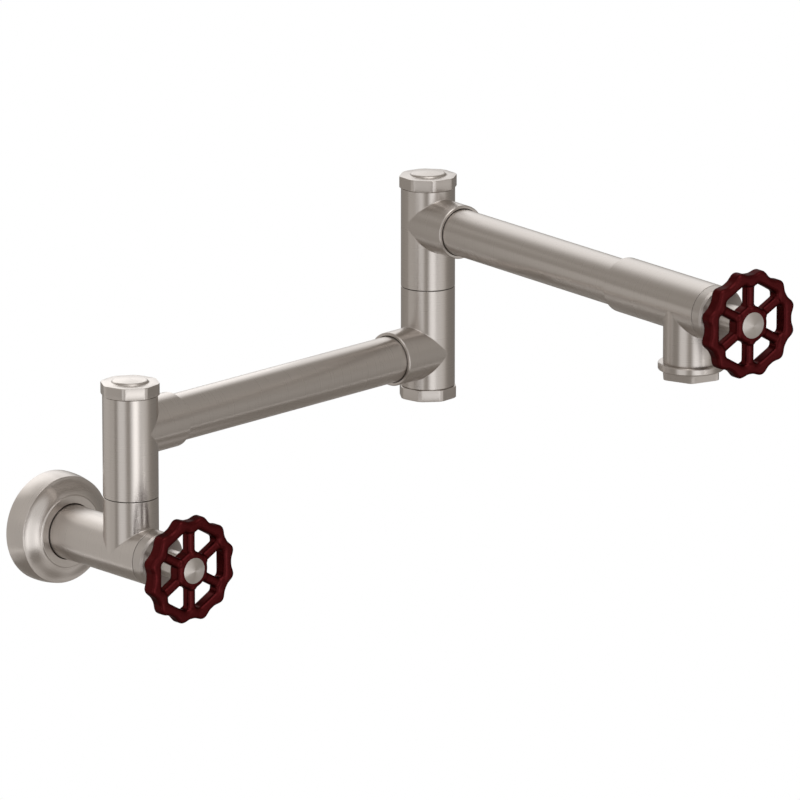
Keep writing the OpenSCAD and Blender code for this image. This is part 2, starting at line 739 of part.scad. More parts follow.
module swivel_1_o_rings() { color(black_rubber) at_seam_1() post_seals(head_1_axis); }
module swivel_1_washer() { color(black_rubber) at_seam_1() seam_washer(); }
module swivel_1_lock_nut() { color(brass) at_seam_1() lock_nut(head_1_axis); }

// Shutoff wheel
module shutoff_stem() { color(brass) at_shutoff() stem(); }
module shutoff_moving_disc() { color(ceramic) at_shutoff() moving_disc(); }
module shutoff_stem_o_rings() { color(black_rubber) at_shutoff() stem_seal_pair(); }
module shutoff_wheel() { color(burgundy) at_shutoff() handwheel(); }
module shutoff_wheel_neck() { color(nickel) at_shutoff() wheel_neck(); }
module shutoff_wheel_screw() { color(nickel) at_shutoff() wheel_screw(); }
module shutoff_wheel_cap() { color(nickel) at_shutoff() wheel_cap(); }

// Arm 1
module column_1_head() {
    color(nickel) at_seam_1() rotate([0, 0, arm_1_angle]) column_head(head_1_axis);
}
module column_1_bush() { color(white_plastic) at_seam_1() bush(); }
module column_1_cap() {
    color(nickel) at_column_1() translate([0, 0, arm_1_rise + column_top]) screw_cap(cap_1_turn);
}
module column_1_cap_seal() {
    color(black_rubber) at_column_1() translate([0, 0, arm_1_rise + column_top]) cap_seal();
}
module arm_tube(x0, x1) { rotate([quarter, 0, quarter]) tube(tube_r, tube_r - arm_tube_wall, x0, x1); }
module arm_1_tube() { color(nickel) at_arm_1() arm_tube(tube_start, arm_length - tube_start); }
module tube_seals(reaches) {
    for (reach = reaches) rotate([quarter, 0, quarter]) seal_ring(tube_seal_mid, tube_seal_r, reach);
}
module arm_1_seals() {
    inset = socket_reach - mouth_depth / 2;
    color(black_rubber) at_arm_1() tube_seals([inset, arm_length - inset]);
}
module column_2_base() {
    color(nickel) at_arm_1_end() difference() {
        union() {
            shell(-column_top, seam_2_height);
            rotate([0, 0, half_turn]) socket_shell(socket_reach);
        }
        bar(way_r, -column_top + plug_h, seam_2_height + overrun);
        bar(post_root_d / 2 + fit_gap, seam_2_height - post_root - fit_gap, seam_2_height + overrun);
        translate([0, 0, -column_top]) rotate([half_turn, 0, 0]) cap_well(plug_h + end_gap);
        rotate([0, 0, half_turn]) socket_bore(socket_floor, socket_reach);
    }
}
module at_bottom_cap() {
    at_arm_1_end() translate([0, 0, -column_top]) rotate([half_turn, 0, -arm_1_angle]) children();
}
module column_2_bottom_cap() { color(nickel) at_bottom_cap() screw_cap(-bottom_cap_turn); }
module column_2_bottom_seal() { color(black_rubber) at_bottom_cap() cap_seal(); }
module swivel_2_post() { color(brass) at_seam_2() swivel_post(head_2_axis); }
module swivel_2_o_rings() { color(black_rubber) at_seam_2() post_seals(head_2_axis); }
module swivel_2_washer() { color(black_rubber) at_seam_2() seam_washer(); }
module swivel_2_lock_nut() { color(brass) at_seam_2() lock_nut(head_2_axis); }

// Arm 2
module column_2_head() {
    color(nickel) at_seam_2() rotate([0, 0, arm_2_angle]) column_head(head_2_axis);
}
module column_2_bush() { color(white_plastic) at_seam_2() bush(); }
module at_top_cap() {
    at_arm_2() translate([0, 0, column_top]) rotate([0, 0, -arm_1_angle - arm_2_angle]) children();
}
module column_2_cap() { color(nickel) at_top_cap() screw_cap(cap_2_turn); }
module column_2_cap_seal() { color(black_rubber) at_top_cap() cap_seal(); }
module arm_2_tube() { color(nickel) at_arm_2() arm_tube(tube_start, arm_length - sleeve_floor - end_gap); }
module arm_2_seals() {
    inset = mouth_depth / 2;
    color(black_rubber) at_arm_2()
        tube_seals([socket_reach - inset, arm_length - sleeve_reach + inset]);
}
module outlet_body() {
    color(nickel) difference() {
        union() {
            at_outlet() shell_to_mouth(-sleeve_reach, bonnet_seam_reach);
            at_spout() shell(-spout_drop, 0);
        }
        at_outlet() bar(tube_bore_r, -sleeve_reach - overrun, -sleeve_floor);
        at_outlet() bar(mouth_r, -sleeve_reach - overrun, -sleeve_reach + mouth_depth);
        at_outlet() bar(seat_way_d / 2, -sleeve_floor - overrun, 0);
        at_outlet() chamber_cut();
        at_spout() bar(way_r, -spout_drop - overrun, 0);
        at_spout() bar(spout_thread_d / 2, -spout_drop - overrun, -spout_thread_floor);
    }
}
module outlet_cartridge() { color(brass) at_outlet() cartridge(); }
module outlet_fixed_disc() { color(ceramic) at_outlet() fixed_disc(); }
module outlet_seat_seal() { color(black_rubber) at_outlet() seat_seal(); }
module outlet_cartridge_o_ring() { color(black_rubber) at_outlet() cartridge_seal(); }
module outlet_bonnet() { color(nickel) at_outlet() bonnet(); }
module aerator_nut() {
    turn = nut_turn - arm_1_angle - arm_2_angle;
    color(nickel) at_spout() difference() {
        union() {
            turned(nut_ring_d / 2, -nut_ring_foot, -spout_drop, nut_ring_round, nut_ring_round);
            translate([0, 0, -nut_foot])
                nut_block(hexagon, nut_flats, nut_corner_d,
                    nut_hex_h + nut_ring_round, nut_ring_round, 0, turn);
            bar(spout_thread_d / 2 - fit_gap, -nut_ring_foot, -nut_thread_top);
        }
        bar(nut_bore / 2, -insert_foot, -nut_thread_top + overrun);
        bar(nut_bore / 2 - nut_lip, -nut_foot - overrun, 0);
    }
}
module aerator_washer() {
    color(black_rubber) at_spout() tube(
        spout_thread_d / 2 - fit_gap, nut_bore / 2 - nut_lip,
        -nut_thread_top, -spout_thread_floor - fit_gap);
}
module aerator_insert() {
    sieve_r = insert_r - insert_wall;
    sieve_rows = 2;
    pitch = sieve_r / (sieve_rows + 1);
    color(white_plastic) at_spout() translate([0, 0, -insert_foot]) difference() {
        bar(insert_r, 0, insert_h);
        bar(sieve_r, sieve_h, insert_h + overrun);
        bar(sieve_hole_d / 2, -overrun, sieve_h + overrun);
        for (row = [1:sieve_rows], i = [0:hexagon * row - 1])
            rotate([0, 0, full_turn * i / (hexagon * row)]) translate([pitch * row, 0, 0])
                bar(sieve_hole_d / 2, -overrun, sieve_h + overrun);
    }
}

// Outlet wheel
module outlet_stem() { color(brass) at_outlet() stem(); }
module outlet_moving_disc() { color(ceramic) at_outlet() moving_disc(); }
module outlet_stem_o_rings() { color(black_rubber) at_outlet() stem_seal_pair(); }
module outlet_wheel() { color(burgundy) at_outlet() handwheel(); }
module outlet_wheel_neck() { color(nickel) at_outlet() wheel_neck(); }
module outlet_wheel_screw() { color(nickel) at_outlet() wheel_screw(); }
module outlet_wheel_cap() { color(nickel) at_outlet() wheel_cap(); }

wall_flange();
wall_gasket();
flange_o_ring();
shutoff_body();
shutoff_cartridge();
shutoff_fixed_disc();
shutoff_seat_seal();
shutoff_cartridge_o_ring();
shutoff_bonnet();
swivel_1_post();
swivel_1_o_rings();
swivel_1_washer();
swivel_1_lock_nut();
shutoff_stem();
shutoff_moving_disc();
shutoff_stem_o_rings();
shutoff_wheel();
shutoff_wheel_neck();
shutoff_wheel_screw();
shutoff_wheel_cap();
column_1_head();
column_1_bush();
column_1_cap();
column_1_cap_seal();
arm_1_tube();
arm_1_seals();
column_2_base();
column_2_bottom_cap();
column_2_bottom_seal();
swivel_2_post();
swivel_2_o_rings();
swivel_2_washer();
swivel_2_lock_nut();
column_2_head();
column_2_bush();
column_2_cap();
column_2_cap_seal();
arm_2_tube();
arm_2_seals();
outlet_body();
outlet_cartridge();
outlet_fixed_disc();
outlet_seat_seal();
outlet_cartridge_o_ring();
outlet_bonnet();
aerator_nut();
aerator_washer();
aerator_insert();
outlet_stem();
outlet_moving_disc();
outlet_stem_o_rings();
outlet_wheel();
outlet_wheel_neck();
outlet_wheel_screw();
outlet_wheel_cap();
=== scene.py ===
# %% [markdown]
# # A wall mounted pot filler
# The real tap hangs on a threaded nipple over a cooker. Two arms fold on two upright columns, and
# a cast handwheel works a quarter-turn valve at the wall and another at the outlet.
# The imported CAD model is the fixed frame: every piece made here goes where the CAD says, and
# either dresses one of its solids or stands for it. A tap drawn by eye would soon miss its joints.

# %% Load the frame
import json
import math

import bmesh
import bpy
import numpy as np
from mathutils import Matrix, Vector


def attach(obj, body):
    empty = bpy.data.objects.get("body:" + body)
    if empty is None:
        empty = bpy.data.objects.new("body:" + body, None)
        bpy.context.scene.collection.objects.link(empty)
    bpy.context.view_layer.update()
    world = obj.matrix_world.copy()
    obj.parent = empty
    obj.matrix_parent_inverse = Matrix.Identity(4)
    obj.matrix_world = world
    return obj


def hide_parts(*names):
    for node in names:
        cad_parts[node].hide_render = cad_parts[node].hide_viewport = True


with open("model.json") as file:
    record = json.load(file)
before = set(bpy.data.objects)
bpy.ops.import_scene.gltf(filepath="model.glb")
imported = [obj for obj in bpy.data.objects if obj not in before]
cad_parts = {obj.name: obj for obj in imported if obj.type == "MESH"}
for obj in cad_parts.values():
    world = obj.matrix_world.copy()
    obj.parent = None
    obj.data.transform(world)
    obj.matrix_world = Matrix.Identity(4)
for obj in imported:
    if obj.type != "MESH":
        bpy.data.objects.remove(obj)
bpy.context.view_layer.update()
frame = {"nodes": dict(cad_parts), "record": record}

# %% [markdown]
# ## Sizes
# These are the source's own sizes in millimetres. Meshes are drawn in millimetres, because a
# tap's edges are easy to think about in tenths of a millimetre, and each is scaled to metres once,
# when it is put in place.

# %% Sizes shared by the pieces
MM = 0.001
WALL_REACH = 74.4
ARM_1_RISE, ARM_2_RISE = 71.5, 77.5
ARM_LENGTH = 254.0
ARM_1_ANGLE, ARM_2_ANGLE = 7.0, -102.0
SEAM_1, SEAM_2 = 32.5, 38.8
SEAM_GAP = 0.4
SHELL_R = 16.0
TUBE_R, TUBE_WALL = 13.8, 1.5
COLUMN_TOP = 21.38
SOCKET_FLOOR, SOCKET_REACH = 16.05, 33.5
SLEEVE_REACH, SLEEVE_FLOOR = 62.0, 38.0
BONNET_SEAM, BONNET_FACE = 20.3, 28.3
WHEEL_BACK, WHEEL_HALF = 47.0, 4.85
SPOUT_DROP = 32.5
TURNS = 160
print("arms:", ARM_LENGTH, "mm from swivel to swivel")

# %% [markdown]
# ## Places
# A piece is drawn about its own axis, as it would sit in a lathe, and a 4 by 4 matrix carries it
# to its place. Places could be typed by hand, but chaining small moves follows the tap itself: the
# wall carries column 1, column 1 carries arm 1, and so on out to the spout.

# %% Matrices for each axis of the tap
def move(x, y, z):
    return Matrix.Translation((x, y, z))


def spin(degrees, axis):
    return Matrix.Rotation(math.radians(degrees), 4, axis)


COLUMN_1 = move(0, -WALL_REACH, 0)
WALL = spin(90, "X")
SHUTOFF = COLUMN_1 @ spin(90, "X")
ARM_1 = COLUMN_1 @ move(0, 0, ARM_1_RISE) @ spin(ARM_1_ANGLE, "Z")
ARM_1_END = ARM_1 @ move(ARM_LENGTH, 0, 0)
ARM_2 = ARM_1_END @ move(0, 0, ARM_2_RISE) @ spin(ARM_2_ANGLE, "Z")
SPOUT = ARM_2 @ move(ARM_LENGTH, 0, 0)
OUTLET = SPOUT @ spin(90, "Z") @ spin(90, "X")
ALONG_X = spin(90, "Z") @ spin(90, "X")
print("spout axis at", [round(v, 1) for v in SPOUT.translation], "mm")

# %% [markdown]
# ## Brushed nickel
# The metal is brass, plated with nickel and brushed while it turns, so fine scratches run round
# every tube and in rings on every face. A photograph of brushed metal could be wrapped round the
# pieces, but it would stretch and show a seam. Here each piece carries a UV map of its turning: u
# is the distance along its profile in millimetres, v is the share of a full turn. The scratches
# are noise that is fine along u and long round the turn, and taking the sine and cosine of the
# turn closes the pattern. The same map gives the shader its tangent, which stretches the
# highlights along the tube as real brushing does. Three settings follow the real surfaces: plain
# brushing, the finer rings of a face spun on the lathe, and the duller satin of the screw caps.

# %% Helpers for materials
def new_material(name):
    mat = bpy.data.materials.new(name)
    mat.use_nodes = True
    nodes, links = mat.node_tree.nodes, mat.node_tree.links
    return mat, nodes, links, nodes["Principled BSDF"]


def feed(links, value, socket):
    """A value is another node's socket or a plain value."""
    if isinstance(value, bpy.types.NodeSocket):
        links.new(value, socket)
    else:
        socket.default_value = value


def math_node(nodes, links, operation, *values):
    node = nodes.new("ShaderNodeMath")
    node.operation = operation
    for value, socket in zip(values, node.inputs):
        feed(links, value, socket)
    return node.outputs[0]


def smooth_step(nodes, links, value, start, end):
    """Rises smoothly from 0 at start to 1 at end."""
    node = nodes.new("ShaderNodeMapRange")
    node.interpolation_type = "SMOOTHSTEP"
    for item, name in ((value, "Value"), (start, "From Min"), (end, "From Max")):
        feed(links, item, node.inputs[name])
    return node.outputs["Result"]


def noise_node(nodes, links, vector, scale, detail=2.0, roughness=0.5):
    node = nodes.new("ShaderNodeTexNoise")
    node.inputs["Scale"].default_value = scale
    node.inputs["Detail"].default_value = detail
    node.inputs["Roughness"].default_value = roughness
    links.new(vector, node.inputs["Vector"])
    return node.outputs["Fac"]


def tint_node(nodes, links, factor, dark, light):
    ramp = nodes.new("ShaderNodeValToRGB")
    for element, place, colour in zip(ramp.color_ramp.elements, (0.3, 0.7), (dark, light)):
        element.position = place
        element.color = (*colour, 1)
    links.new(factor, ramp.inputs["Fac"])
    return ramp.outputs["Color"]


def bump_node(nodes, links, height, strength, distance, shader):
    bump = nodes.new("ShaderNodeBump")
    bump.inputs["Strength"].default_value = strength
    bump.inputs["Distance"].default_value = distance
    links.new(height, bump.inputs["Height"])
    links.new(bump.outputs["Normal"], shader.inputs["Normal"])


# %% A pattern that closes after a full turn
TURNING_MAP = "turning"


def turning_vector(nodes, links, lines, streak_turns):
    """lines is the fineness along the profile, streak_turns the fineness round it."""
    uv = nodes.new("ShaderNodeUVMap")
    uv.uv_map = TURNING_MAP
    split = nodes.new("ShaderNodeSeparateXYZ")
    links.new(uv.outputs["UV"], split.inputs["Vector"])
    angle = math_node(nodes, links, "MULTIPLY", split.outputs["Y"], 2 * math.pi)
    vector = nodes.new("ShaderNodeCombineXYZ")
    links.new(math_node(nodes, links, "MULTIPLY", split.outputs["X"], lines), vector.inputs["X"])
    for trade, axis in (("COSINE", "Y"), ("SINE", "Z")):
        turn = math_node(nodes, links, trade, angle)
        links.new(math_node(nodes, links, "MULTIPLY", turn, streak_turns), vector.inputs[axis])
    return vector.outputs["Vector"]


# %% The brushed nickel itself
NICKEL = (0.560, 0.520, 0.488)
TONE_SPREAD, POLISH_SPREAD = 0.025, 0.025
FINE_SHARE = 0.6
SCRATCH_STRENGTH, SCRATCH_DEPTH = 0.03, 0.02 * MM


def brushed_nickel(name, lines, streak_turns, polish, stretch):
    mat, nodes, links, shader = new_material(name)
    vector = turning_vector(nodes, links, lines, streak_turns)
    fine = noise_node(nodes, links, vector, scale=1.0, detail=3.0, roughness=0.6)
    broad = noise_node(nodes, links, vector, scale=0.3)
    both = math_node(nodes, links, "ADD", math_node(nodes, links, "MULTIPLY", fine, FINE_SHARE),
                     math_node(nodes, links, "MULTIPLY", broad, 1 - FINE_SHARE))
    dark, light = (tuple(v * (1 + spread) for v in NICKEL) for spread in (-TONE_SPREAD, TONE_SPREAD))
    links.new(tint_node(nodes, links, both, dark, light), shader.inputs["Base Color"])
    shader.inputs["Metallic"].default_value = 1.0
    grain = math_node(nodes, links, "MULTIPLY_ADD", both, 2 * POLISH_SPREAD, polish - POLISH_SPREAD)
    links.new(grain, shader.inputs["Roughness"])
    shader.inputs["Anisotropic"].default_value = stretch
    tangent = nodes.new("ShaderNodeTangent")
    tangent.direction_type = "UV_MAP"
    tangent.uv_map = TURNING_MAP
    links.new(tangent.outputs["Tangent"], shader.inputs["Tangent"])
    bump_node(nodes, links, fine, SCRATCH_STRENGTH, SCRATCH_DEPTH, shader)
    return mat


nickel = brushed_nickel("brushed_nickel", lines=5.5, streak_turns=0.7, polish=0.28, stretch=0.72)
spun_nickel = brushed_nickel("spun_nickel", lines=6.0, streak_turns=0.5, polish=0.36, stretch=0.93)
satin_nickel = brushed_nickel("satin_nickel", lines=4.0, streak_turns=0.5, polish=0.33, stretch=0.25)
print("nickel materials:", nickel.name, spun_nickel.name, satin_nickel.name)

# %% [markdown]
# ## Paint, brass, rubber, ceramic and plastic
# The handwheels are castings under a satin burgundy paint, which leaves a faint orange peel under
# a trace of clear coat. Its metal flake darkens the colour wherever a face turns from the light.
# The rest is mostly hidden: machined brass, black rubber, lapped ceramic, white plastic and plated
# steel. One recipe serves them all, because each is a colour with a fine even grain. It reads
# Object coordinates and needs no UV map, which suits a CAD solid, whose place is in its mesh.

# %% A finish with an even grain
GRAIN_DEPTH = 0.05 * MM


def plain_finish(name, dark, light, scale, rough, spread, bump, metallic=0.0):
    mat, nodes, links, shader = new_material(name)
    coords = nodes.new("ShaderNodeTexCoord")
    grain = noise_node(nodes, links, coords.outputs["Object"], scale, detail=3.0)
    links.new(tint_node(nodes, links, grain, dark, light), shader.inputs["Base Color"])
    links.new(math_node(nodes, links, "MULTIPLY_ADD", grain, spread, rough - spread / 2),
              shader.inputs["Roughness"])
    shader.inputs["Metallic"].default_value = metallic
    bump_node(nodes, links, grain, bump, GRAIN_DEPTH, shader)
    return mat, shader


# %% The wheels' paint
paint, paint_shader = plain_finish(
    "burgundy_paint", dark=(0.066, 0.0054, 0.0064), light=(0.082, 0.0072, 0.0084),
    scale=900.0, rough=0.36, spread=0.06, bump=0.08, metallic=0.85)
for socket, value in (("Specular IOR Level", 0.15), ("Specular Tint", (0.30, 0.05, 0.05, 1)),
                      ("Coat Weight", 0.07), ("Coat Roughness", 0.24)):
    paint_shader.inputs[socket].default_value = value
print("paint:", paint.name)

# %% Dress every CAD solid by the record's slots
FINISHES = {"wheel_paint": paint}
# slot, name, dark and light tone, scale of the grain, roughness and its spread, bump, metal
for slot, *look in (
        ("brass", "machined_brass", (0.55, 0.37, 0.14), (0.72, 0.52, 0.24), 2200.0, 0.30, 0.12, 0.15, 1.0),
        ("rubber", "black_rubber", (0.012,) * 3, (0.028, 0.027, 0.026), 1500.0, 0.75, 0.15, 0.25),
        ("ceramic", "lapped_ceramic", (0.78, 0.76, 0.72), (0.88, 0.86, 0.82), 3000.0, 0.18, 0.05, 0.03),
        ("plastic", "white_acetal", (0.74, 0.74, 0.72), (0.84, 0.84, 0.82), 1200.0, 0.45, 0.10, 0.08),
        ("nickel", "plated_steel", (0.52, 0.49, 0.46), (0.62, 0.58, 0.55), 2500.0, 0.30, 0.10, 0.1, 1.0)):
    FINISHES[slot] = plain_finish(*look)[0]
slot_of = {row["node"]: row["material_slot"] for row in frame["record"]["subparts"]}
for node_name, solid in frame["nodes"].items():
    solid.data.materials.clear()
    solid.data.materials.append(FINISHES[slot_of[node_name]])
print("dressed", len(frame["nodes"]), "CAD solids")

# %% [markdown]
# ## Turned pieces
# Most of the tap is made on a lathe. A turned piece is a profile of radius and height, swept once
# round the axis. Nothing machined has a knife edge, so every corner of the profile is rounded a
# little, and two extra points beside each round keep the shading of the flat next to it flat.
# A Screw modifier could do the sweep, but faces made in code get their place on the turning map in
# the same pass, and the brushing needs that map.

# %% Round the corners of a profile
NEARLY_STRAIGHT = math.radians(86)
EDGE_SHARE = 0.45


def soften(points, radius, steps=4, margin=0.18):
    """points are (radius, height) or (radius, height, own rounding)."""
    out = []
    for i, point in enumerate(points):
        here = np.array(point[:2], float)
        r = point[2] if len(point) > 2 else radius
        if i in (0, len(points) - 1) or r == 0:
            out.append(tuple(here))
            continue
        back, on = np.array(points[i - 1][:2], float) - here, np.array(points[i + 1][:2], float) - here
        back_length, on_length = np.linalg.norm(back), np.linalg.norm(on)
        back, on = back / back_length, on / on_length
        half = math.acos(max(-1.0, min(1.0, float(back @ on)))) / 2
        if half > NEARLY_STRAIGHT:
            out.append(tuple(here))
            continue
        reach = min(r / math.tan(half), back_length * EDGE_SHARE, on_length * EDGE_SHARE)
        r = reach * math.tan(half)
        centre = here + (back + on) / np.linalg.norm(back + on) * (r / math.sin(half))
        start, end = here + back * reach, here + on * reach
        sweep = math.pi - 2 * half
        if back_length / 2 > reach + margin:
            out.append(tuple(start + back * margin))
        for t in np.linspace(0.0, 1.0, steps + 1):
            first, last = math.sin((1 - t) * sweep), math.sin(t * sweep)
            out.append(tuple(centre + ((start - centre) * first + (end - centre) * last) / math.sin(sweep)))
        if on_length / 2 > reach + margin:
            out.append(tuple(end + on * margin))
    return out


# %% Sheets of points, each with its place in the turning map
def sheet(rows, u, v):
    """rows is an array [profile, turn, xyz]; u and v give each point's place in the map."""
    rows = np.asarray(rows, float)
    return rows, np.broadcast_to(u, rows.shape[:2]), np.broadcast_to(v, rows.shape[:2])


def along_profile(points):
    """The distance run along a profile up to each of its points."""
    steps = np.linalg.norm(np.diff(points, axis=0), axis=1)
    return np.concatenate([[0], np.cumsum(steps)])[:, None]


def xyz(x, y, z):
    return np.stack(np.broadcast_arrays(x, y, z), axis=-1)


def lathe_sheet(profile, angles=None):
    profile = np.asarray(profile, float)
    angles = np.radians(np.linspace(0, 360, TURNS + 1)) if angles is None else angles
    radius, height = profile[:, :1], profile[:, 1:]
    rows = xyz(radius * np.cos(angles), radius * np.sin(angles), height)
    return sheet(rows, along_profile(profile), angles[None, :] / (2 * math.pi))


# %% Weld the sheets into one closed piece
WELD, SLIVER, SPECK_AREA = 2e-4, 1e-5, 1e-9


def add_sheet(work, layer, rows, u, v):
    m, n = rows.shape[:2]
    verts = [[work.verts.new(rows[i, j]) for j in range(n)] for i in range(m)]
    for i in range(m - 1):
        for j in range(n - 1):
            ring = ((i, j), (i, j + 1), (i + 1, j + 1), (i + 1, j))
            face = work.faces.new([verts[p][q] for p, q in ring])
            for loop, (p, q) in zip(face.loops, ring):
                loop[layer].uv = (u[p, q], v[p, q])


def add_object(name, data):
    thing = bpy.data.objects.new(name, data)
    bpy.context.scene.collection.objects.link(thing)
    return thing


def add_piece(name, mesh, place):
    """Brings a mesh drawn in millimetres to its place in metres."""
    mesh.transform(Matrix.Scale(MM, 4) @ place)
    mesh.polygons.foreach_set("use_smooth", [True] * len(mesh.polygons))
    return add_object(name, mesh)


def settle(piece, body, slot, *nodes):
    """The piece moves with its body and stands for the nodes, which are hidden. slot is not used."""
    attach(piece, body)
    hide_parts(*nodes)


def bevel_edges(work, width, over):
    """Rounds each edge whose faces turn by more than over degrees."""
    edges = [e for e in work.edges if len(e.link_faces) == 2
             and e.calc_face_angle(0.0) > math.radians(over)]
    bmesh.ops.bevel(work, geom=edges, offset=width, segments=2, profile=0.5, affect="EDGES",
                    clamp_overlap=True)


def build(name, sheets, place, body, node, material=nickel, slot="nickel", sharp=32.0, bevel=None):
    """Joins the sheets, welds and closes them, and adds the piece that stands for the node."""
    work = bmesh.new()
    layer = work.loops.layers.uv.new(TURNING_MAP)
    for rows, u, v in sheets:
        add_sheet(work, layer, rows, u, v)
    bmesh.ops.remove_doubles(work, verts=work.verts, dist=WELD)
    bmesh.ops.dissolve_degenerate(work, edges=work.edges, dist=SLIVER)
    specks = [f for f in work.faces if f.calc_area() < SPECK_AREA]
    bmesh.ops.delete(work, geom=specks, context="FACES_ONLY")
    bmesh.ops.recalc_face_normals(work, faces=work.faces)
    open_edges = sum(1 for e in work.edges if len(e.link_faces) != 2)
    if bevel:
        bevel_edges(work, *bevel)
    mesh = bpy.data.meshes.new(name)
    work.to_mesh(mesh)
    work.free()
    mesh.materials.append(material)
    piece = add_piece(name, mesh, place)
    mesh.set_sharp_from_angle(angle=math.radians(sharp))
    settle(piece, body, slot, node)
    print(f"{name}: {len(mesh.polygons)} faces, {open_edges} open edges")


# %% Turn a piece
def turned(name, profile, place, body, node, material=nickel, rounding=0.25):
    build(name, [lathe_sheet(soften(profile, rounding))], place, body, node, material)


# %% [markdown]
# ## Flange
# The flange is a spun cover that hides the hole in the wall. Its side bulges a little, the front
# edge is crisp, and a cove runs in to a raised collar round the wall tube. An arc could draw the
# cove, but this one lies almost flat at the edge and at the collar and is steep between them, so
# a curve with four handles fits it better.

# %% Turn the flange
BACK_R, FRONT_R, TAPER, BULGE = 32.55, 31.5, 1.1, 0.52
FRONT_EDGE, LIP_REACH = 14.3, 19.4
LIP_OUTER_R, LIP_INNER_R = 21.0, 16.55
RECESS_R, RECESS_INNER_R, RECESS_DEPTH = 28.55, 28.0, 2.0
RING_SEAT_R, RING_FRONT, RING_BACK = 17.0, 18.75, 17.0
COVER_BORE_R = 16.15
COVE = [(30.9, 14.45), (27.8, 15.1), (25.2, 18.2), (21.6, 18.85)]


def bezier(handles, count):
    a, b, c, d = (np.array(p, float) for p in handles)
    return [tuple((1 - t) ** 3 * a + 3 * (1 - t) ** 2 * t * b + 3 * (1 - t) * t * t * c + t ** 3 * d) + (0,)
            for t in np.linspace(0, 1, count)]


bulged_side = [(FRONT_R + TAPER * (1 - t) + BULGE * math.sin(math.pi * t),
                FRONT_EDGE * t, 0) for t in np.linspace(0.06, 0.92, 12)]
recess = [(RECESS_INNER_R, RECESS_DEPTH), (RECESS_R, RECESS_DEPTH, 0.1), (RECESS_R, 0.0, 0.2)]
lip = [(LIP_OUTER_R, LIP_REACH, 0.45), (LIP_INNER_R, LIP_REACH, 0.25), (LIP_INNER_R, RING_FRONT, 0.08),
       (RING_SEAT_R, RING_FRONT, 0.08), (RING_SEAT_R, RING_BACK, 0.08), (COVER_BORE_R, RING_BACK, 0.08)]
turned("flange_cover",
       recess + [(BACK_R, 0.0, 0.4)] + bulged_side + [(FRONT_R, FRONT_EDGE, 0.4)]
       + bezier(COVE, 30) + lip + [(COVER_BORE_R, RECESS_DEPTH, 0.1), (RECESS_INNER_R, RECESS_DEPTH)],
       WALL, "wall_side", "wall_flange")

# %% [markdown]
# ## Tee bodies
# Five castings are tees: a main tube with a second tube of the same size leaving its side. Where
# two equal tubes meet, the join is a clean mitre. A boolean could cut it, but would leave ragged
# faces that break the brushing. In every slice across the tee the corner is a right angle, so the
# mitre can be drawn exactly, with a small fillet as a polishing wheel leaves.

# %% The front and the back of a tee, and the mitre for every angle of its front
MITRE_FILLET, MITRE_MARGIN, FADE = 0.45, 0.25, 0.35
CORNER_STEPS, HALF_TURNS = 4, 80
FRONT = np.radians(np.linspace(-90, 90, HALF_TURNS + 1))
BACK = np.radians(np.linspace(90, 270, HALF_TURNS + 1))
COS, SIN = np.cos(FRONT), np.sin(FRONT)
MITRE = SHELL_R * COS
FILLET = MITRE_FILLET * np.minimum(1.0, COS / FADE)
FOOT = MITRE + FILLET
NEAR = FOOT + MITRE_MARGIN * np.minimum(1.0, COS / FADE)
print("mitre:", len(FRONT), "angles")


# %% Branch, corner and back of a tee
def branch_sheet(mouth, sign):
    """Half of the branch along +X, from its mouth in to the fillet."""
    rows = [xyz(st, r * SIN, sign * r * COS) for r, st in mouth[::-1]]
    rows += [xyz(st, SHELL_R * SIN, sign * MITRE) for st in (NEAR, FOOT)]
    u = [st + (SHELL_R - r) + 0 * COS for r, st in mouth[::-1]] + [NEAR, FOOT]
    return sheet(rows, np.array(u), sign * FRONT[None, :] / (2 * math.pi) + 0.5)


def corner_sheet(end, sign):
    """The fillet of the mitre, and the main tube's front from there to its end."""
    rows = [xyz(MITRE + FILLET * (1 - math.sin(t)), SHELL_R * SIN,
                sign * (MITRE + FILLET * (1 - math.cos(t))))
            for t in np.linspace(0.0, math.pi / 2, CORNER_STEPS + 1)]
    rows += [xyz(MITRE, SHELL_R * SIN, sign * NEAR)] + [xyz(r * COS, r * SIN, st) for r, st in end]
    rows = np.array(rows)
    u = rows[:, :, 2] + sign * (SHELL_R - np.hypot(rows[:, :, 0], rows[:, :, 1])).clip(0)
    return sheet(rows, u, FRONT[None, :] / (2 * math.pi))


def back_sheet(low, high):
    column = low[::-1] + [(SHELL_R, 0.0)] + high
    rows = [xyz(r * np.cos(BACK), r * np.sin(BACK), st) for r, st in column]
    u = np.array([st + math.copysign(SHELL_R - r, st) for r, st in column])
    return sheet(rows, u[:, None], BACK[None, :] / (2 * math.pi))


# %% Draw a tee
def tee(name, low, high, mouth, inner, place, body, node):
    """low, high and mouth are end profiles (radius, station) that start on the shell and run in.
    inner joins the ends of low and high through the bore. The main tube is Z, the branch +X."""
    low, high, mouth = (soften(points, 0.25) for points in (low, high, mouth))
    sheets = [part for sign, end in ((1, high), (-1, low))
              for part in (branch_sheet(mouth, sign), corner_sheet(end, sign))]
    sheets.append(back_sheet(low, high))
    sheets.append(lathe_sheet(soften(inner, 0.12), np.concatenate([FRONT, BACK[1:]])))
    build(name, sheets, place, body, node)


# %% [markdown]
# ## The tees' ends
# Each tee could be one long list of numbers, but its ends repeat: a plain end with a broken edge,
# a valve room, a socket for an arm and a well for a screw cap. A socket has a thin lip with a
# groove behind it for the ring that wipes the tube. Under a cap the column is turned down a
# little, which leaves a dark line between the two.

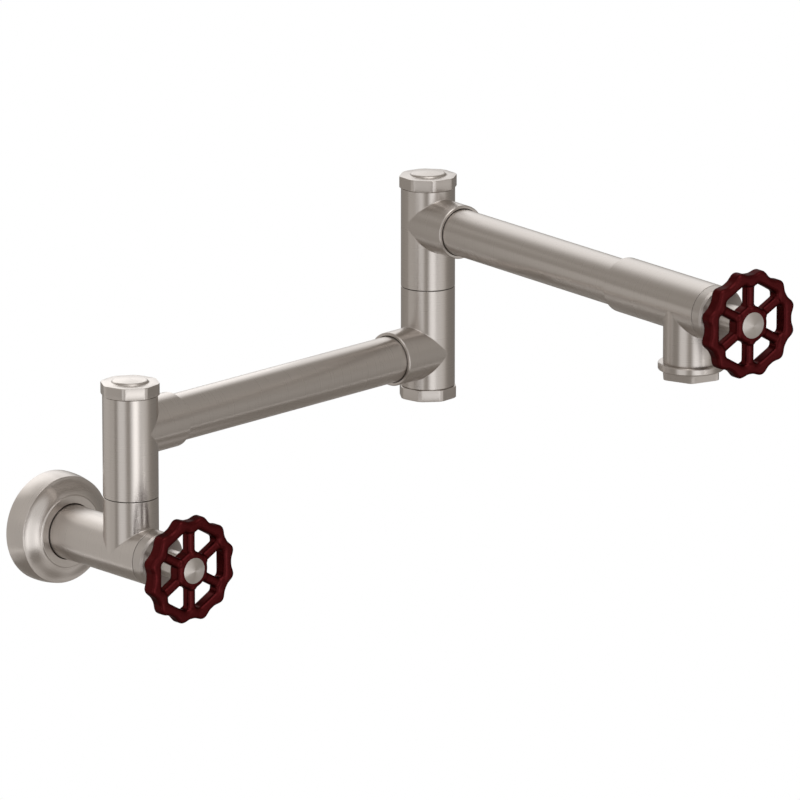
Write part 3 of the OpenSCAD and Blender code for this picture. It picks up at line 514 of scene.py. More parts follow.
# %% Ends and rooms that the tees share
ROOM_R, ROOM_FLOOR, CARTRIDGE_R, CARTRIDGE_FLOOR = 13.0, 12.3, 10.5, -10.2
WAY_R = 5.5
ROOT_R, ROOT_DEPTH = 9.65, 14.05
LIP_R, LIP_WIDTH, GROOVE_R, MOUTH_DEPTH = 14.2, 0.3, 15.0, 1.3
SOCKET_BEVEL = 0.5
TUBE_SEAT_R = TUBE_R + 0.05
WELL_R, WELL_FLOOR, SHADOW_R, SHADOW_HEIGHT = 13.0, 12.2, 15.3, 0.42


def inward(station, step):
    return station - math.copysign(step, station)


def shell_end(station, rounding=0.2, back=1.5):
    """The shell's last stretch and its edge."""
    return [(SHELL_R, inward(station, back)), (SHELL_R, station, rounding)]


def bevelled_end(station, back):
    """The same with the bevel of a socket."""
    return [(SHELL_R, inward(station, back)), (SHELL_R, inward(station, SOCKET_BEVEL), 0.25),
            (SHELL_R - SOCKET_BEVEL, station, 0.25)]


def under_cap(end):
    shoulder = inward(end, SHADOW_HEIGHT)
    return [(SHELL_R, inward(end, 4 * SHADOW_HEIGHT)), (SHELL_R, shoulder, 0.1),
            (SHADOW_R, shoulder, 0.05), (SHADOW_R, end, 0.05), (WELL_R, end)]


groove_back = SOCKET_REACH - MOUTH_DEPTH
SOCKET = bevelled_end(SOCKET_REACH, 2.0) + [
    (LIP_R, SOCKET_REACH, 0.12), (LIP_R, SOCKET_REACH - LIP_WIDTH, 0.06),
    (GROOVE_R, SOCKET_REACH - LIP_WIDTH, 0.06), (GROOVE_R, groove_back, 0.06),
    (TUBE_SEAT_R, groove_back, 0.06), (TUBE_SEAT_R, SOCKET_FLOOR, 0.1), (0.0, SOCKET_FLOOR)]
VALVE_END = shell_end(BONNET_SEAM, back=1.3) + [(ROOM_R, BONNET_SEAM)]
VALVE_ROOM = [(WAY_R, CARTRIDGE_FLOOR), (CARTRIDGE_R, CARTRIDGE_FLOOR), (CARTRIDGE_R, ROOM_FLOOR),
              (ROOM_R, ROOM_FLOOR), (ROOM_R, BONNET_SEAM)]
print("socket:", len(SOCKET), "points")

# %% The valve body at the wall
INLET_R, INLET_DEPTH = 9.3, 15.0
inlet_floor = INLET_DEPTH - WALL_REACH
tee("wall_valve_body",
    low=shell_end(-WALL_REACH, 0.4, 4.4) + [(INLET_R, -WALL_REACH)],
    high=VALVE_END,
    mouth=shell_end(SEAM_1) + [(ROOT_R, SEAM_1, 0.1), (ROOT_R, SEAM_1 - ROOT_DEPTH, 0.1),
                               (0.0, SEAM_1 - ROOT_DEPTH)],
    inner=[(INLET_R, -WALL_REACH), (INLET_R, inlet_floor), (WAY_R, inlet_floor)] + VALVE_ROOM,
    place=SHUTOFF @ spin(90, "Z"), body="wall_side", node="shutoff_body")

# %% The turning half of each column
BUSH_R, BUSH_HEIGHT, POST_RUN_R = 12.0, 9.0, 10.08


def column_half(name, axis_height, place, body, node):
    seam = SEAM_GAP - axis_height
    tee(name,
        low=shell_end(seam) + [(BUSH_R, seam)],
        high=under_cap(COLUMN_TOP),
        mouth=SOCKET,
        inner=[(BUSH_R, seam), (BUSH_R, seam + BUSH_HEIGHT), (POST_RUN_R, seam + BUSH_HEIGHT),
               (POST_RUN_R, WELL_FLOOR), (WELL_R, WELL_FLOOR), (WELL_R, COLUMN_TOP)],
        place=place, body=body, node=node)


column_half("column_1_upper", ARM_1_RISE - SEAM_1, ARM_1, "first_arm", "column_1_head")
column_half("column_2_upper", ARM_2_RISE - SEAM_2, ARM_2, "second_arm", "column_2_head")

# %% The lower half of column 2
FOOT_WELL_FLOOR, COLUMN_WAY_R = -16.1, 8.0
root_floor = SEAM_2 - ROOT_DEPTH
tee("column_2_lower",
    low=under_cap(-COLUMN_TOP),
    high=shell_end(SEAM_2) + [(ROOT_R, SEAM_2)],
    mouth=SOCKET,
    inner=[(WELL_R, -COLUMN_TOP), (WELL_R, FOOT_WELL_FLOOR), (COLUMN_WAY_R, FOOT_WELL_FLOOR),
           (COLUMN_WAY_R, root_floor), (ROOT_R, root_floor), (ROOT_R, SEAM_2)],
    place=ARM_1_END @ spin(180, "Z"), body="first_arm", node="column_2_base")

# %% The sleeve and spout of the outlet
SPOUT_THREAD_R, SPOUT_THREAD_TOP = 12.5, 22.35
sleeve_groove = MOUTH_DEPTH - SLEEVE_REACH
tee("outlet_shell",
    low=bevelled_end(-SLEEVE_REACH, 1.5) + [(LIP_R, -SLEEVE_REACH)],
    high=VALVE_END,
    mouth=shell_end(SPOUT_DROP) + [(SPOUT_THREAD_R, SPOUT_DROP, 0.1), (SPOUT_THREAD_R, SPOUT_THREAD_TOP, 0.1),
                                   (0.0, SPOUT_THREAD_TOP)],
    inner=[(LIP_R, -SLEEVE_REACH), (LIP_R, LIP_WIDTH - SLEEVE_REACH), (GROOVE_R, LIP_WIDTH - SLEEVE_REACH),
           (GROOVE_R, sleeve_groove), (TUBE_SEAT_R, sleeve_groove), (TUBE_SEAT_R, -SLEEVE_FLOOR),
           (WAY_R, -SLEEVE_FLOOR)] + VALVE_ROOM,
    place=OUTLET @ spin(-90, "Z"), body="second_arm", node="outlet_body")

# %% [markdown]
# ## Arm tubes
# Each arm is a plain drawn tube, brushed round. A cylinder would do for a glance, but the real
# tube is open, so it is turned with its bore. Its ends sit deep in the sockets, and a black rubber
# ring wipes it at each mouth, which shows as a fine dark line.

# %% The rings that wipe the tubes
WIPER_R, WIPER_HALF_WIDTH, WIPER_HALF_LENGTH, WIPER_SET_BACK = 14.4, 0.55, 0.44, 0.8


def wiper_rings(name, mouths, place, body, node):
    round_section = [(WIPER_R + WIPER_HALF_WIDTH * math.cos(a), WIPER_HALF_LENGTH * math.sin(a))
                     for a in np.linspace(0, 2 * math.pi, 17)]
    sheets = [lathe_sheet([(r, z + mouth) for r, z in round_section]) for mouth in mouths]
    build(name, sheets, place @ ALONG_X, body, node, FINISHES["rubber"], "rubber")


first_mouth = SOCKET_REACH - WIPER_SET_BACK
wiper_rings("arm_1_wipers", [first_mouth, ARM_LENGTH - first_mouth], ARM_1, "first_arm", "arm_1_seals")
wiper_rings("arm_2_wipers", [first_mouth, ARM_LENGTH - SLEEVE_REACH + WIPER_SET_BACK],
            ARM_2, "second_arm", "arm_2_seals")

# %% Draw the tubes
TUBE_GAP = 0.3


def arm_tube(name, start, end, place, body, node):
    bore = TUBE_R - TUBE_WALL
    middle = (start + end) / 2
    turned(name, [(bore, middle), (bore, start), (TUBE_R, start), (TUBE_R, end), (bore, end), (bore, middle)],
           place @ ALONG_X, body, node)


arm_tube("arm_1_pipe", SOCKET_FLOOR + TUBE_GAP, ARM_LENGTH - SOCKET_FLOOR - TUBE_GAP,
         ARM_1, "first_arm", "arm_1_tube")
arm_tube("arm_2_pipe", SOCKET_FLOOR + TUBE_GAP, ARM_LENGTH - SLEEVE_FLOOR - TUBE_GAP,
         ARM_2, "second_arm", "arm_2_tube")

# %% [markdown]
# ## Screw caps and the outlet nut
# The columns are closed by eight-sided caps, and a hexagon under the spout holds the aerator.
# A spanner piece like this is milled from round bar: its flats cut into a turned shape, so each
# corner keeps a narrow strip of the round. A boolean of a prism and a turned blank would show the
# same edges without a map for the brushing. Here, for every angle, the profile runs up the smaller
# of the flat and the turned corner, which puts an edge exactly where the two meet.

# %% Milled flats on a turned corner
def milled_sheet(sides, flats, corner_d, height, low_bevel, high_bevel, turn, below, above):
    """below and above are the points inside that close the profile."""
    flat_r, corner_r = flats / 2, corner_d / 2
    step = 360 / sides
    meet = math.degrees(math.acos(flat_r / corner_r))
    spread = np.concatenate([np.linspace(-meet, meet, 13), np.linspace(meet, step - meet, 5)[1:-1]])
    angles = np.concatenate([spread + step * k for k in range(sides)] + [[step * sides - meet]])
    rows = []
    for angle in angles:
        off = (angle + meet) % step - meet
        wall = flat_r / math.cos(math.radians(off)) if off <= meet + 1e-6 else corner_r
        wall = min(wall, corner_r)
        cut = corner_r - wall
        foot, head = min(wall, corner_r - low_bevel), min(wall, corner_r - high_bevel)
        rise = low_bevel - cut if wall > foot else 0.0
        fall = high_bevel - cut if wall > head else 0.0
        rows.append([*below, (foot, 0.0), (wall, rise), (wall, height - fall), (head, height), *above])
    rows = np.array(rows)
    around = np.radians(angles + turn + step / 2)[:, None]
    r, z = rows[:, :, 0], rows[:, :, 1]
    places = xyz(r * np.cos(around), r * np.sin(around), z).transpose(1, 0, 2)
    return sheet(places, along_profile(rows[0]), around.T / (2 * math.pi))


# %% Caps with a low crown
CAP_FLATS, CAP_CORNER_D, CAP_HEIGHT = 32.4, 34.3, 6.9
CROWN_TOP, CROWN_FALL, DOME_R = 9.05, 0.62, 8.7
SHOULDER_WIDTH, SHOULDER_HEIGHT, SHOULDER_BASE = 1.85, 1.2, 7.26
CROWN_FOOT = [(12.0, CAP_HEIGHT), (11.4, 6.94), (10.98, 7.07), (10.7, SHOULDER_BASE)]
PLUG_R, PLUG_BORE_R, PLUG_LENGTH = 12.95, 8.95, 5.0
SEAL_SEAT_R, SEAL_LOW, SEAL_HIGH = 11.35, -3.7, -1.3


def crown_profile():
    dome = [(DOME_R * t, CROWN_TOP - CROWN_FALL * t * t) for t in np.linspace(0.0, 1.0, 10)]
    shoulder = [(DOME_R + SHOULDER_WIDTH * math.sin(a), SHOULDER_BASE + SHOULDER_HEIGHT * math.cos(a))
                for a in np.radians(np.linspace(14, 74, 9))]
    return CROWN_FOOT + shoulder[::-1] + dome[::-1]


def screw_cap(name, place, turn, body, node):
    plug = [(0.0, 0.0), (PLUG_BORE_R, 0.0), (PLUG_BORE_R, -PLUG_LENGTH), (PLUG_R - 0.05, -PLUG_LENGTH),
            (PLUG_R, SEAL_LOW), (SEAL_SEAT_R, SEAL_LOW), (SEAL_SEAT_R, SEAL_HIGH), (PLUG_R, SEAL_HIGH),
            (PLUG_R, 0.0)]
    flats = milled_sheet(8, CAP_FLATS, CAP_CORNER_D, CAP_HEIGHT, 0.25, 0.3, turn, plug, crown_profile())
    build(name, [flats], place, body, node, satin_nickel, sharp=25.0, bevel=(0.12, 14))


# %% Place the three caps
CAP_1_TURN, CAP_2_TURN, FOOT_CAP_TURN = 38.5, 16.5, -32.5
screw_cap("column_1_screw_cap", COLUMN_1 @ move(0, 0, ARM_1_RISE + COLUMN_TOP),
          CAP_1_TURN, "first_arm", "column_1_cap")
screw_cap("column_2_foot_cap",
          ARM_1_END @ move(0, 0, -COLUMN_TOP) @ spin(-ARM_1_ANGLE, "Z") @ spin(180, "X"),
          FOOT_CAP_TURN, "first_arm", "column_2_bottom_cap")
screw_cap("column_2_screw_cap",
          ARM_2 @ move(0, 0, COLUMN_TOP) @ spin(-ARM_1_ANGLE - ARM_2_ANGLE, "Z"),
          CAP_2_TURN, "second_arm", "column_2_cap")

# %% The aerator's ring and hexagon, one piece with its thread
HEX_FLATS, HEX_CORNER_D, HEX_HEIGHT, HEX_TURN = 31.5, 35.8, 4.6, 48.5
NUT_RING_R, NUT_RING_HEIGHT = 18.9, 4.2
NUT_THREAD_R, NUT_THREAD_LENGTH, NUT_BORE_R = 12.45, 8.5, 10.2
OUTFLOW_R, OUTFLOW_FLARE_R = 9.4, 9.65
ring_top = HEX_HEIGHT + NUT_RING_HEIGHT
thread_top = ring_top + NUT_THREAD_LENGTH
nut_ring = soften([(15.0, HEX_HEIGHT), (NUT_RING_R, HEX_HEIGHT, 0.8), (NUT_RING_R, ring_top, 0.8),
                   (NUT_THREAD_R, ring_top, 0.1), (NUT_THREAD_R, thread_top, 0.4),
                   (NUT_BORE_R, thread_top, 0.3), (NUT_BORE_R, 1.0)], 0.2)[1:]
outflow = [(NUT_BORE_R, 1.0), (OUTFLOW_R, 1.0), (OUTFLOW_R, 0.25), (OUTFLOW_FLARE_R, 0.0)]
hexagon = milled_sheet(6, HEX_FLATS, HEX_CORNER_D, HEX_HEIGHT, 0.4, 0.0,
                       HEX_TURN - ARM_1_ANGLE - ARM_2_ANGLE, outflow, nut_ring)
build("outlet_nut", [hexagon], SPOUT @ move(0, 0, -SPOUT_DROP - ring_top), "second_arm", "aerator_nut",
      sharp=25.0, bevel=(0.12, 50))

# %% [markdown]
# ## Bonnets and wheel necks
# A short ring screws down each valve, a stub behind the wheel carries it and a button closes its
# hub. A slice of a sphere could stand for the button, but its real dome falls a little sooner
# from the middle, so all three are turned from profiles. The ring's face and the button are
# spun, which throws a bow-tie highlight.

# %% Profiles of the bonnet, the neck and the hub cap
STEM_HOLE_R, SKIRT_FLOOR, SKIRT_BORE_R, SEAT = 7.3, 14.35, 8.3, 20.0
BONNET = [(STEM_HOLE_R, SEAT), (STEM_HOLE_R, BONNET_FACE), (14.8, BONNET_FACE, 0.3),
          (SHELL_R, BONNET_FACE - 1.2, 0.35), (SHELL_R, BONNET_SEAM + 0.45, 0.12),
          (ROOM_R - 0.05, BONNET_SEAM + 0.45, 0.1), (ROOM_R - 0.05, SKIRT_FLOOR, 0.3),
          (SKIRT_BORE_R, SKIRT_FLOOR, 0.1), (SKIRT_BORE_R, SEAT), (STEM_HOLE_R, SEAT)]
NECK_R, NECK_BACK, NECK_FRONT, SPIGOT_R, SPIGOT_FRONT = 8.0, 28.6, 46.95, 5.5, 50.5
SCREW_HOLE_R, STEM_BORE_R, STEM_BORE_END = 2.1, 3.95, 40.0
NECK = [(SCREW_HOLE_R, STEM_BORE_END), (SCREW_HOLE_R, SPIGOT_FRONT), (SPIGOT_R, SPIGOT_FRONT, 0.2),
        (SPIGOT_R, NECK_FRONT, 0.1), (NECK_R, NECK_FRONT, 0.4), (NECK_R, NECK_BACK, 0.4),
        (STEM_BORE_R, NECK_BACK, 0.1), (STEM_BORE_R, STEM_BORE_END), (SCREW_HOLE_R, STEM_BORE_END)]
BUTTON_R, BUTTON_TOP, BUTTON_FALL, BUTTON_BACK, BUTTON_STUB = 7.55, 58.0, 1.15, 56.7, 55.8
BUTTON = [(BUTTON_R * t, BUTTON_TOP - BUTTON_FALL * t ** 1.7, 0) for t in np.linspace(0.0, 0.95, 14)] + [
    (7.52, 56.86, 0.1), (BUTTON_R, BUTTON_BACK, 0.1), (SPIGOT_R, BUTTON_BACK, 0.1),
    (SPIGOT_R, BUTTON_STUB, 0.2), (0.0, BUTTON_STUB)]
print("hub cap:", BUTTON_TOP, "mm in front of the casting's axis")


# %% Turn them for both valves
def valve_front(prefix, place, still_body, wheel_body):
    turned(f"{prefix}_bonnet_ring", BONNET, place, still_body, f"{prefix}_bonnet", spun_nickel)
    turned(f"{prefix}_neck_stub", NECK, place, wheel_body, f"{prefix}_wheel_neck")
    turned(f"{prefix}_hub_cap", BUTTON, place, wheel_body, f"{prefix}_wheel_cap", spun_nickel, 0.2)


valve_front("shutoff", SHUTOFF, "wall_side", "shutoff_handle")
valve_front("outlet", OUTLET, "second_arm", "outlet_handle")

# %% [markdown]
# ## Handwheels
# Each handwheel is a small casting: a scalloped rim, six spokes and a hub that melt into each
# other with fillets, because molten metal doesn't fill sharp corners. A subdivision surface could
# be shaped by hand, but a rule fits it better. Geometry Nodes works out, for a grid of points, how
# far each lies from the wheel's surface, and a skin is drawn where that distance is zero. The rule
# joins ring, spokes and hub, rounds the windows between them, changes the thickness with the
# radius and rounds every edge alike. The sizes are named inputs, so the tree casts any such wheel.

# %% Short words for field maths
class Field:
    """Adds nodes to one tree. f.cosine(a) adds a COSINE node, and so on for each math operation."""

    def __init__(self, tree):
        self.tree = tree

    def __getattr__(self, operation):
        return lambda *values: math_node(self.tree.nodes, self.tree.links, operation.upper(), *values)

    def feed(self, value, socket):
        feed(self.tree.links, value, socket)

    def hypotenuse(self, a, b):
        return self.sqrt(self.add(self.multiply(a, a), self.multiply(b, b)))

    def round_max(self, a, b, radius):
        """The larger of two distances, with a round of this radius where they meet."""
        a, b = self.add(a, radius), self.add(b, radius)
        corner = self.hypotenuse(self.maximum(a, 0.0), self.maximum(b, 0.0))
        inside = self.minimum(self.maximum(a, b), 0.0)
        return self.subtract(self.add(corner, inside), radius)

    def step(self, value, middle, before, after):
        """Rises smoothly from 0 to 1, from before short of the middle to after past it."""
        start, end = self.subtract(middle, before), self.add(middle, after)
        return smooth_step(self.tree.nodes, self.tree.links, value, start, end)


# %% The wheel's sizes, which become the tree's inputs
WHEEL_SIZES = {"Peak Radius": 31.2, "Hollow Radius": 28.8, "Peaks": 12.0, "Peak Sharpness": 1.5,
               "Rim Inner Radius": 22.8, "Hub Radius": 10.9, "Hub Fillet": 1.6, "Spokes": 6.0,
               "Spoke Width": 5.6, "Rim Half": 4.65, "Spoke Half": 3.6, "Hub Half": WHEEL_HALF,
               "Edge Rounding": 2.5, "Corner": 4.0, "Bore Radius": 5.55, "Screw Radius": SCREW_HOLE_R,
               "Web Half": 0.65, "Cell": 0.42}
print("wheel:", 2 * WHEEL_SIZES["Peak Radius"], "mm across")


# %% How far a point lies outside the scalloped rim, the spokes and the hub
def wheel_outline(f, size, r, angle):
    swing = f.subtract(1.0, f.cosine(f.multiply(angle, size["Peaks"])))
    wave = f.power(f.maximum(f.multiply(swing, 0.5), 0.0), size["Peak Sharpness"])
    depth = f.subtract(size["Peak Radius"], size["Hollow Radius"])
    scallop = f.multiply_add(wave, depth, size["Hollow Radius"])
    # every window is the same, so the plane is folded onto one
    share = f.divide(2 * math.pi, size["Spokes"])
    half_share = f.multiply(share, 0.5)
    from_middle = f.subtract(f.floored_modulo(f.add(angle, half_share), share), half_share)
    rim = f.subtract(f.multiply(r, f.cosine(from_middle)), size["Rim Inner Radius"])
    to_spoke = f.subtract(half_share, f.absolute(from_middle))
    off_spoke = f.multiply(r, f.sine(to_spoke))
    spoke = f.multiply_add(size["Spoke Width"], 0.5, f.multiply(off_spoke, -1.0))
    window = f.multiply(f.round_max(rim, spoke, size["Corner"]), -1.0)
    hub = f.subtract(r, size["Hub Radius"])
    inner = f.smooth_min(window, hub, size["Hub Fillet"])
    return f.maximum(inner, f.subtract(r, scallop))


# %% Its thickness and its bore
def wheel_half_thickness(f, size, r):
    """The hub is thickest, the spokes are thinner and the rim swells again."""
    past_hub = f.step(r, size["Hub Radius"], 0.2, 1.2)
    at_rim = f.step(r, size["Rim Inner Radius"], 0.9, 0.5)
    half = f.multiply_add(past_hub, f.subtract(size["Spoke Half"], size["Hub Half"]), size["Hub Half"])
    return f.multiply_add(at_rim, f.subtract(size["Rim Half"], size["Spoke Half"]), half)


def wheel_bore(f, size, r, z):
    """A bore from both faces, with a web between them that the screw passes."""
    web = f.subtract(size["Web Half"], f.absolute(f.add(z, size["Web Half"])))
    bore = f.maximum(f.subtract(r, size["Bore Radius"]), web)
    return f.minimum(bore, f.subtract(r, size["Screw Radius"]))


# %% A skin where the distance is zero
SURFACE, BLUR_CELLS, ROOM = 0.5, 4.0, 1.0


def wheel_skin(f, size, distance):
    tree = f.tree
    density = f.subtract(SURFACE, f.divide(distance, f.multiply(size["Cell"], BLUR_CELLS)))
    density = f.minimum(f.maximum(density, 0.0), 1.0)
    reach, depth = f.add(size["Peak Radius"], ROOM), f.add(size["Hub Half"], ROOM)
    extents = (("X", reach), ("Y", reach), ("Z", depth))
    cube = tree.nodes.new("GeometryNodeVolumeCube")
    cube.inputs["Background"].default_value = 0.0
    f.feed(density, cube.inputs["Density"])
    for end, sign in (("Min", -1.0), ("Max", 1.0)):
        corner = tree.nodes.new("ShaderNodeCombineXYZ")
        for axis, extent in extents:
            f.feed(f.multiply(extent, sign), corner.inputs[axis])
        f.feed(corner.outputs[0], cube.inputs[end])
    for axis, extent in extents:
        count = f.round(f.divide(f.multiply(extent, 2.0), size["Cell"]))
        f.feed(count, cube.inputs[f"Resolution {axis}"])
    skin = tree.nodes.new("GeometryNodeVolumeToMesh")
    skin.inputs["Threshold"].default_value = SURFACE
    f.feed(cube.outputs["Volume"], skin.inputs["Volume"])
    return skin.outputs["Mesh"]


# %% The whole tree
def wheel_tree():
    tree = bpy.data.node_groups.new("cast_handwheel", "GeometryNodeTree")
    tree.interface.new_socket("Geometry", in_out="OUTPUT", socket_type="NodeSocketGeometry")
    sockets = {}
    for name, value in WHEEL_SIZES.items():
        socket = tree.interface.new_socket(name, in_out="INPUT", socket_type="NodeSocketFloat")
        socket.default_value = value
        sockets[name] = socket.identifier
    paint_socket = tree.interface.new_socket("Paint", in_out="INPUT", socket_type="NodeSocketMaterial")
    sockets["Paint"] = paint_socket.identifier
    size = tree.nodes.new("NodeGroupInput").outputs
    f = Field(tree)
    place = tree.nodes.new("ShaderNodeSeparateXYZ")
    f.feed(tree.nodes.new("GeometryNodeInputPosition").outputs[0], place.inputs[0])
    x, y, z = place.outputs
    r, angle = f.hypotenuse(x, y), f.arctan2(y, x)
    over_face = f.subtract(f.absolute(z), wheel_half_thickness(f, size, r))
    solid = f.round_max(wheel_outline(f, size, r, angle), over_face, size["Edge Rounding"])
    solid = f.maximum(solid, f.multiply(wheel_bore(f, size, r, z), -1.0))
    real = tree.nodes.new("GeometryNodeRealizeInstances")
    painted = tree.nodes.new("GeometryNodeSetMaterial")
    result = tree.nodes.new("NodeGroupOutput")
    f.feed(wheel_skin(f, size, solid), real.inputs["Geometry"])
    f.feed(real.outputs["Geometry"], painted.inputs["Geometry"])
    f.feed(size["Paint"], painted.inputs["Material"])
    f.feed(painted.outputs["Geometry"], result.inputs["Geometry"])
    return tree, sockets


WHEEL_TREE, WHEEL_SOCKETS = wheel_tree()
print("handwheel tree:", len(WHEEL_TREE.nodes), "nodes")


# %% Cast the two wheels
def handwheel(name, place, body, node):
    seed = add_object(f"{name}_seed", bpy.data.meshes.new(f"{name}_seed"))
    grow = seed.modifiers.new("cast", "NODES")
    grow.node_group = WHEEL_TREE
    for key, value in {**WHEEL_SIZES, "Paint": paint}.items():
        grow[WHEEL_SOCKETS[key]] = value
    cast = seed.evaluated_get(bpy.context.evaluated_depsgraph_get())
    mesh = bpy.data.meshes.new_from_object(cast)
    bpy.data.objects.remove(seed)
    mesh.name = name
    wheel = add_piece(name, mesh, place @ move(0, 0, WHEEL_BACK + WHEEL_HALF))
    settle(wheel, body, "wheel_paint", node)
    print(f"{name}: {len(mesh.polygons)} faces")


handwheel("shutoff_handwheel", SHUTOFF, "shutoff_handle", "shutoff_wheel")
handwheel("outlet_handwheel", OUTLET, "outlet_handle", "outlet_wheel")

# %% [markdown]
# ## Camera
# The photograph looks along both arms from high on the left, through a long lens. A camera can be
# set by eye, but one known point fixes it better: where the wall tube's axis meets column 1's. It
# keeps its pixel while the angles, the distance and the lens are tried. These values give every
# column, cap and wheel its place in the 800 by 800 frame.

# %% Camera
AZIMUTH, PITCH = math.radians(-40.846), math.radians(14.551)
DISTANCE, FOCAL_PX, FRAME_PX = 5.075, 8856.0, 800.0
KNOWN_POINT, KNOWN_PIXEL = Vector((0, -WALL_REACH * MM, 0)), (131.3, 550.7)
right = Vector((math.cos(AZIMUTH), math.sin(AZIMUTH), 0))
level = Vector((-math.sin(AZIMUTH), math.cos(AZIMUTH), 0))
ahead = level * math.cos(PITCH) + Vector((0, 0, -math.sin(PITCH)))
above = level * math.sin(PITCH) + Vector((0, 0, math.cos(PITCH)))
lens = bpy.data.cameras.new("camera")
lens.lens = FOCAL_PX / FRAME_PX * lens.sensor_width
lens.clip_end = 100.0
camera = add_object("camera", lens)
off_right, off_down = ((pixel - FRAME_PX / 2) * DISTANCE / FOCAL_PX for pixel in KNOWN_PIXEL)
eye = KNOWN_POINT - ahead * DISTANCE - right * off_right + above * off_down
camera.matrix_world = Matrix.Translation(eye) @ Matrix((right, above, -ahead)).transposed().to_4x4()
bpy.context.scene.camera = camera
print("camera at", [round(v, 3) for v in eye], "m, lens", round(lens.lens, 1), "mm")

# %% [markdown]
# ## Floor
# The tap hangs well clear of a pale sweep. The floor is grey to the light, so it doesn't brighten
# the tap from below, and white to the camera. Its rim is white to the metal too. A brighter lamp
# could whiten it as well, but would bleach the tap.

# %% What should see a white background
def studio_white(nodes, links):
    path = nodes.new("ShaderNodeLightPath")
    seen = math_node(nodes, links, "MAXIMUM", path.outputs["Is Camera Ray"],
                     path.outputs["Is Transmission Ray"])
    return seen, path.outputs["Is Glossy Ray"]


# %% Floor
FLOOR_CENTRE, FLOOR_R, RIM_FROM = (0.13, -0.15, -1.1), 1.9, 1.75
FLOOR_GREY, FLOOR_GLOW = (0.46, 0.435, 0.41, 1), 0.75
floor_mesh = bpy.data.meshes.new("floor")
disc = bmesh.new()
bmesh.ops.create_circle(disc, cap_ends=True, segments=96, radius=FLOOR_R)
disc.to_mesh(floor_mesh)
disc.free()
floor = add_object("floor", floor_mesh)
floor.location = FLOOR_CENTRE
floor_mat, nodes, links, shader = new_material("pale_floor")
shader.inputs["Base Color"].default_value = FLOOR_GREY
shader.inputs["Roughness"].default_value = 0.8
seen, glossy = studio_white(nodes, links)
place = nodes.new("ShaderNodeTexCoord")
far = nodes.new("ShaderNodeVectorMath")
far.operation = "LENGTH"
links.new(place.outputs["Object"], far.inputs[0])
rim = math_node(nodes, links, "GREATER_THAN", far.outputs["Value"], RIM_FROM)
white = math_node(nodes, links, "MAXIMUM", seen, math_node(nodes, links, "MULTIPLY", glossy, rim))
shader.inputs["Emission Color"].default_value = (1, 1, 1, 1)
links.new(math_node(nodes, links, "MULTIPLY", white, FLOOR_GLOW), shader.inputs["Emission Strength"])
floor_mesh.materials.append(floor_mat)
print("floor", 2 * FLOOR_R, "m across,", -FLOOR_CENTRE[2], "m below the wall tube")

# %% [markdown]
# ## Tent
# Brushed metal shows what stands round it: white cloth, grey card and black flags, as upright
# bands on each column. Large lamps could stand for the cloth, but the world can hold all of it.
# Its tone changes with the direction round the tap, once for eye level and below and once for
# above. Darker tones are a little warmer. Behind the tap a white sweep lights the arms' edges.

# %% Directions in the studio
TENT_STRENGTH = 2.0
world = bpy.data.worlds.new("studio")
bpy.context.scene.world = world
world.use_nodes = True
nodes, links = world.node_tree.nodes, world.node_tree.links
background = nodes["Background"]
compass = nodes.new("ShaderNodeTexCoord")


def along(vector):
    node = nodes.new("ShaderNodeVectorMath")
    node.operation = "DOT_PRODUCT"
    links.new(compass.outputs["Generated"], node.inputs[0])
    node.inputs[1].default_value = vector
    return node.outputs["Value"]


def mix(factor, a, b):
    node = nodes.new("ShaderNodeMix")
    node.data_type = "RGBA"
    for value, name in ((factor, "Factor"), (a, "A"), (b, "B")):
        feed(links, value, node.inputs[name])
    return node.outputs["Result"]


# %% Tones of the tent, by degrees to the right of the camera's own direction
LOWER = [(-180, 0.22), (-143, 0.34), (-105, 0.42), (-88, 0.35), (-56, 0.35), (-47, 0.98), (-24, 0.98),
         (-12, 0.42), (-1, 0.34), (7, 1.05), (13, 1.45), (27, 1.45), (38, 0.98), (62, 0.84), (74, 0.70),
         (86, 0.40), (100, 0.31), (180, 0.22)]
UPPER = [(-180, 0.42), (-105, 0.40), (-80, 0.44), (-56, 0.46), (-44, 0.8), (-24, 0.8), (-11, 0.45),
         (-1, 0.4), (10, 0.95), (34, 0.95), (46, 0.65), (75, 0.48), (92, 0.40), (102, 0.50), (118, 0.34),
         (180, 0.42)]
UPPER_FROM = 0.30
WHITE_TONE, WARM_RANGE = 1.1, 0.7


def tent_tones(turn, stops):
    node = nodes.new("ShaderNodeValToRGB")
    elements = node.color_ramp.elements
    while len(elements) < len(stops):
        elements.new(0.5)
    for element, (degrees, tone) in zip(elements, stops):
        warmth = min(1.0, max(0.0, (WHITE_TONE - tone) / WARM_RANGE))
        value = tone / TENT_STRENGTH
        element.position = (degrees + 180) / 360
        element.color = (value, value * (1.01 - 0.07 * warmth), value * (1.02 - 0.15 * warmth), 1)
    links.new(turn, node.inputs["Fac"])
    return node.outputs["Color"]


turn = math_node(nodes, links, "ARCTAN2", along(right), along(-level))
turn = math_node(nodes, links, "MULTIPLY_ADD", turn, 1 / (2 * math.pi), 0.5)
lifted = smooth_step(nodes, links, along(Vector((0, 0, 1))), 0.0, UPPER_FROM)
tent = mix(lifted, tent_tones(turn, LOWER), tent_tones(turn, UPPER))
print("tent:", len(LOWER) + len(UPPER), "tones")

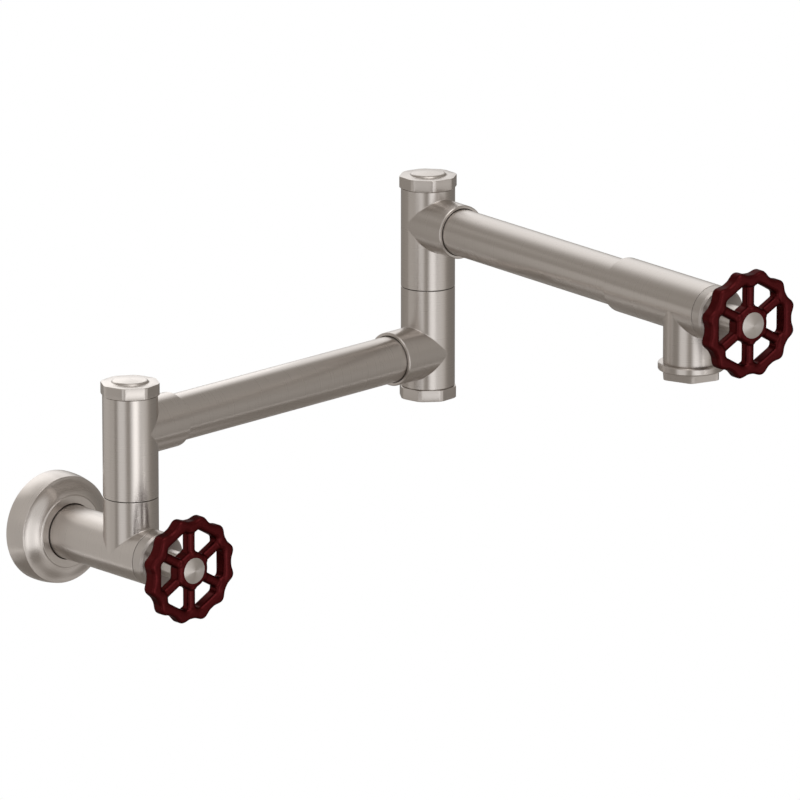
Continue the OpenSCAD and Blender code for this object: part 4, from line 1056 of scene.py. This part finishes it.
# %% The white sweep behind the tap, and white for the camera
SWEEP_DIRECTION = (level * 0.86 - right * 0.19 + Vector((0, 0, 0.47))).normalized()
SWEEP_EDGE, SWEEP_CORE = math.cos(math.radians(35)), math.cos(math.radians(4))
SWEEP_WHITE, CAMERA_WHITE = (0.71, 0.71, 0.71, 1), (1 / TENT_STRENGTH,) * 3 + (1,)
seen, glossy = studio_white(nodes, links)
sweep = smooth_step(nodes, links, along(SWEEP_DIRECTION), SWEEP_EDGE, SWEEP_CORE)
lit_sweep = math_node(nodes, links, "MULTIPLY", sweep, glossy)
links.new(mix(seen, mix(lit_sweep, tent, SWEEP_WHITE), CAMERA_WHITE), background.inputs["Color"])
background.inputs["Strength"].default_value = TENT_STRENGTH
print("world:", len(nodes), "nodes")

# %% [markdown]
# ## Lamps
# A softbox overhead gives the tap its soft key light. The wall end is the brighter one in the
# photograph, so cards and small boxes stand close to it. The world can't do this, because it
# lights both ends alike. A grid on a box keeps its light in a narrow fan and off the arms. No lamp
# shows to the camera.

# %% Softboxes
def softbox(name, aim, side, up, distance, width, height, tone, grid):
    """side and up are degrees from the camera's own direction, grid the angle its light fans to."""
    lamp = bpy.data.lights.new(name, "AREA")
    lamp.shape = "RECTANGLE"
    lamp.size, lamp.size_y = width, height
    lamp.spread = math.radians(grid)
    half = math.radians(grid / 2)
    focus = 1.0 if grid == 180.0 else math.tan(half) / (math.tan(half) - half)
    lamp.energy = tone * math.pi * width * height / focus
    holder = add_object(name, lamp)
    angle, lift = math.radians(side), math.radians(up)
    flat = -level * math.cos(angle) + right * math.sin(angle)
    out = flat * math.cos(lift) + Vector((0, 0, math.sin(lift)))
    holder.location = Vector(aim) + out * distance
    holder.rotation_euler = out.to_track_quat("Z", "Y").to_euler()
    holder.visible_camera = False


# %% The key light, and cards and boxes close to the wall end
WALL_TUBE, UNDER_TUBE, NEAR_FLANGE = (0, -0.04, 0.0), (0, -0.016, 0.0), (0, -0.03, 0.01)
COLUMN_MIDDLE, COLUMN_CAP = (0, -WALL_REACH * MM, 0.06), (0, -WALL_REACH * MM, 0.1)
# name, aim, side, up, distance, width, height, tone, grid
for box in (("overhead_softbox", (0.13, -0.15, 0.07), 20.0, 72.0, 2.0, 1.2, 1.2, 1.33, 180.0),
            ("left_card", WALL_TUBE, -98.0, 4.0, 0.17, 0.30, 0.34, 0.25, 180.0),
            ("wall_top_box", NEAR_FLANGE, -143.0, 42.0, 0.30, 0.26, 0.22, 0.75, 80.0),
            ("column_box", COLUMN_MIDDLE, 26.0, -14.6, 0.35, 0.15, 0.30, 0.9, 44.0),
            ("cap_box", COLUMN_CAP, 180.0, 14.6, 0.25, 0.18, 0.12, 0.55, 44.0),
            ("under_box_left", UNDER_TUBE, 55.0, -46.0, 0.30, 0.20, 0.16, 0.5, 50.0),
            ("under_box_right", UNDER_TUBE, 102.0, -46.0, 0.30, 0.20, 0.16, 0.5, 50.0)):
    softbox(*box)

# %% Boxes for the spun buttons
for wheel, valve, side, tone in ((1, SHUTOFF, 58.0, 2.6), (2, OUTLET, 50.0, 3.4)):
    button = (valve @ Vector((0, 0, BUTTON_TOP))) * MM
    for up in (-16.0, -9.0, -2.0):
        softbox(f"hub_box_{wheel}_{-up:.0f}", button, side, up, distance=0.5,
                width=0.10, height=0.09, tone=tone, grid=8.0)
print("lamps:", len(bpy.data.lights))

# %% Colours as written
bpy.context.scene.view_settings.view_transform = "Standard"
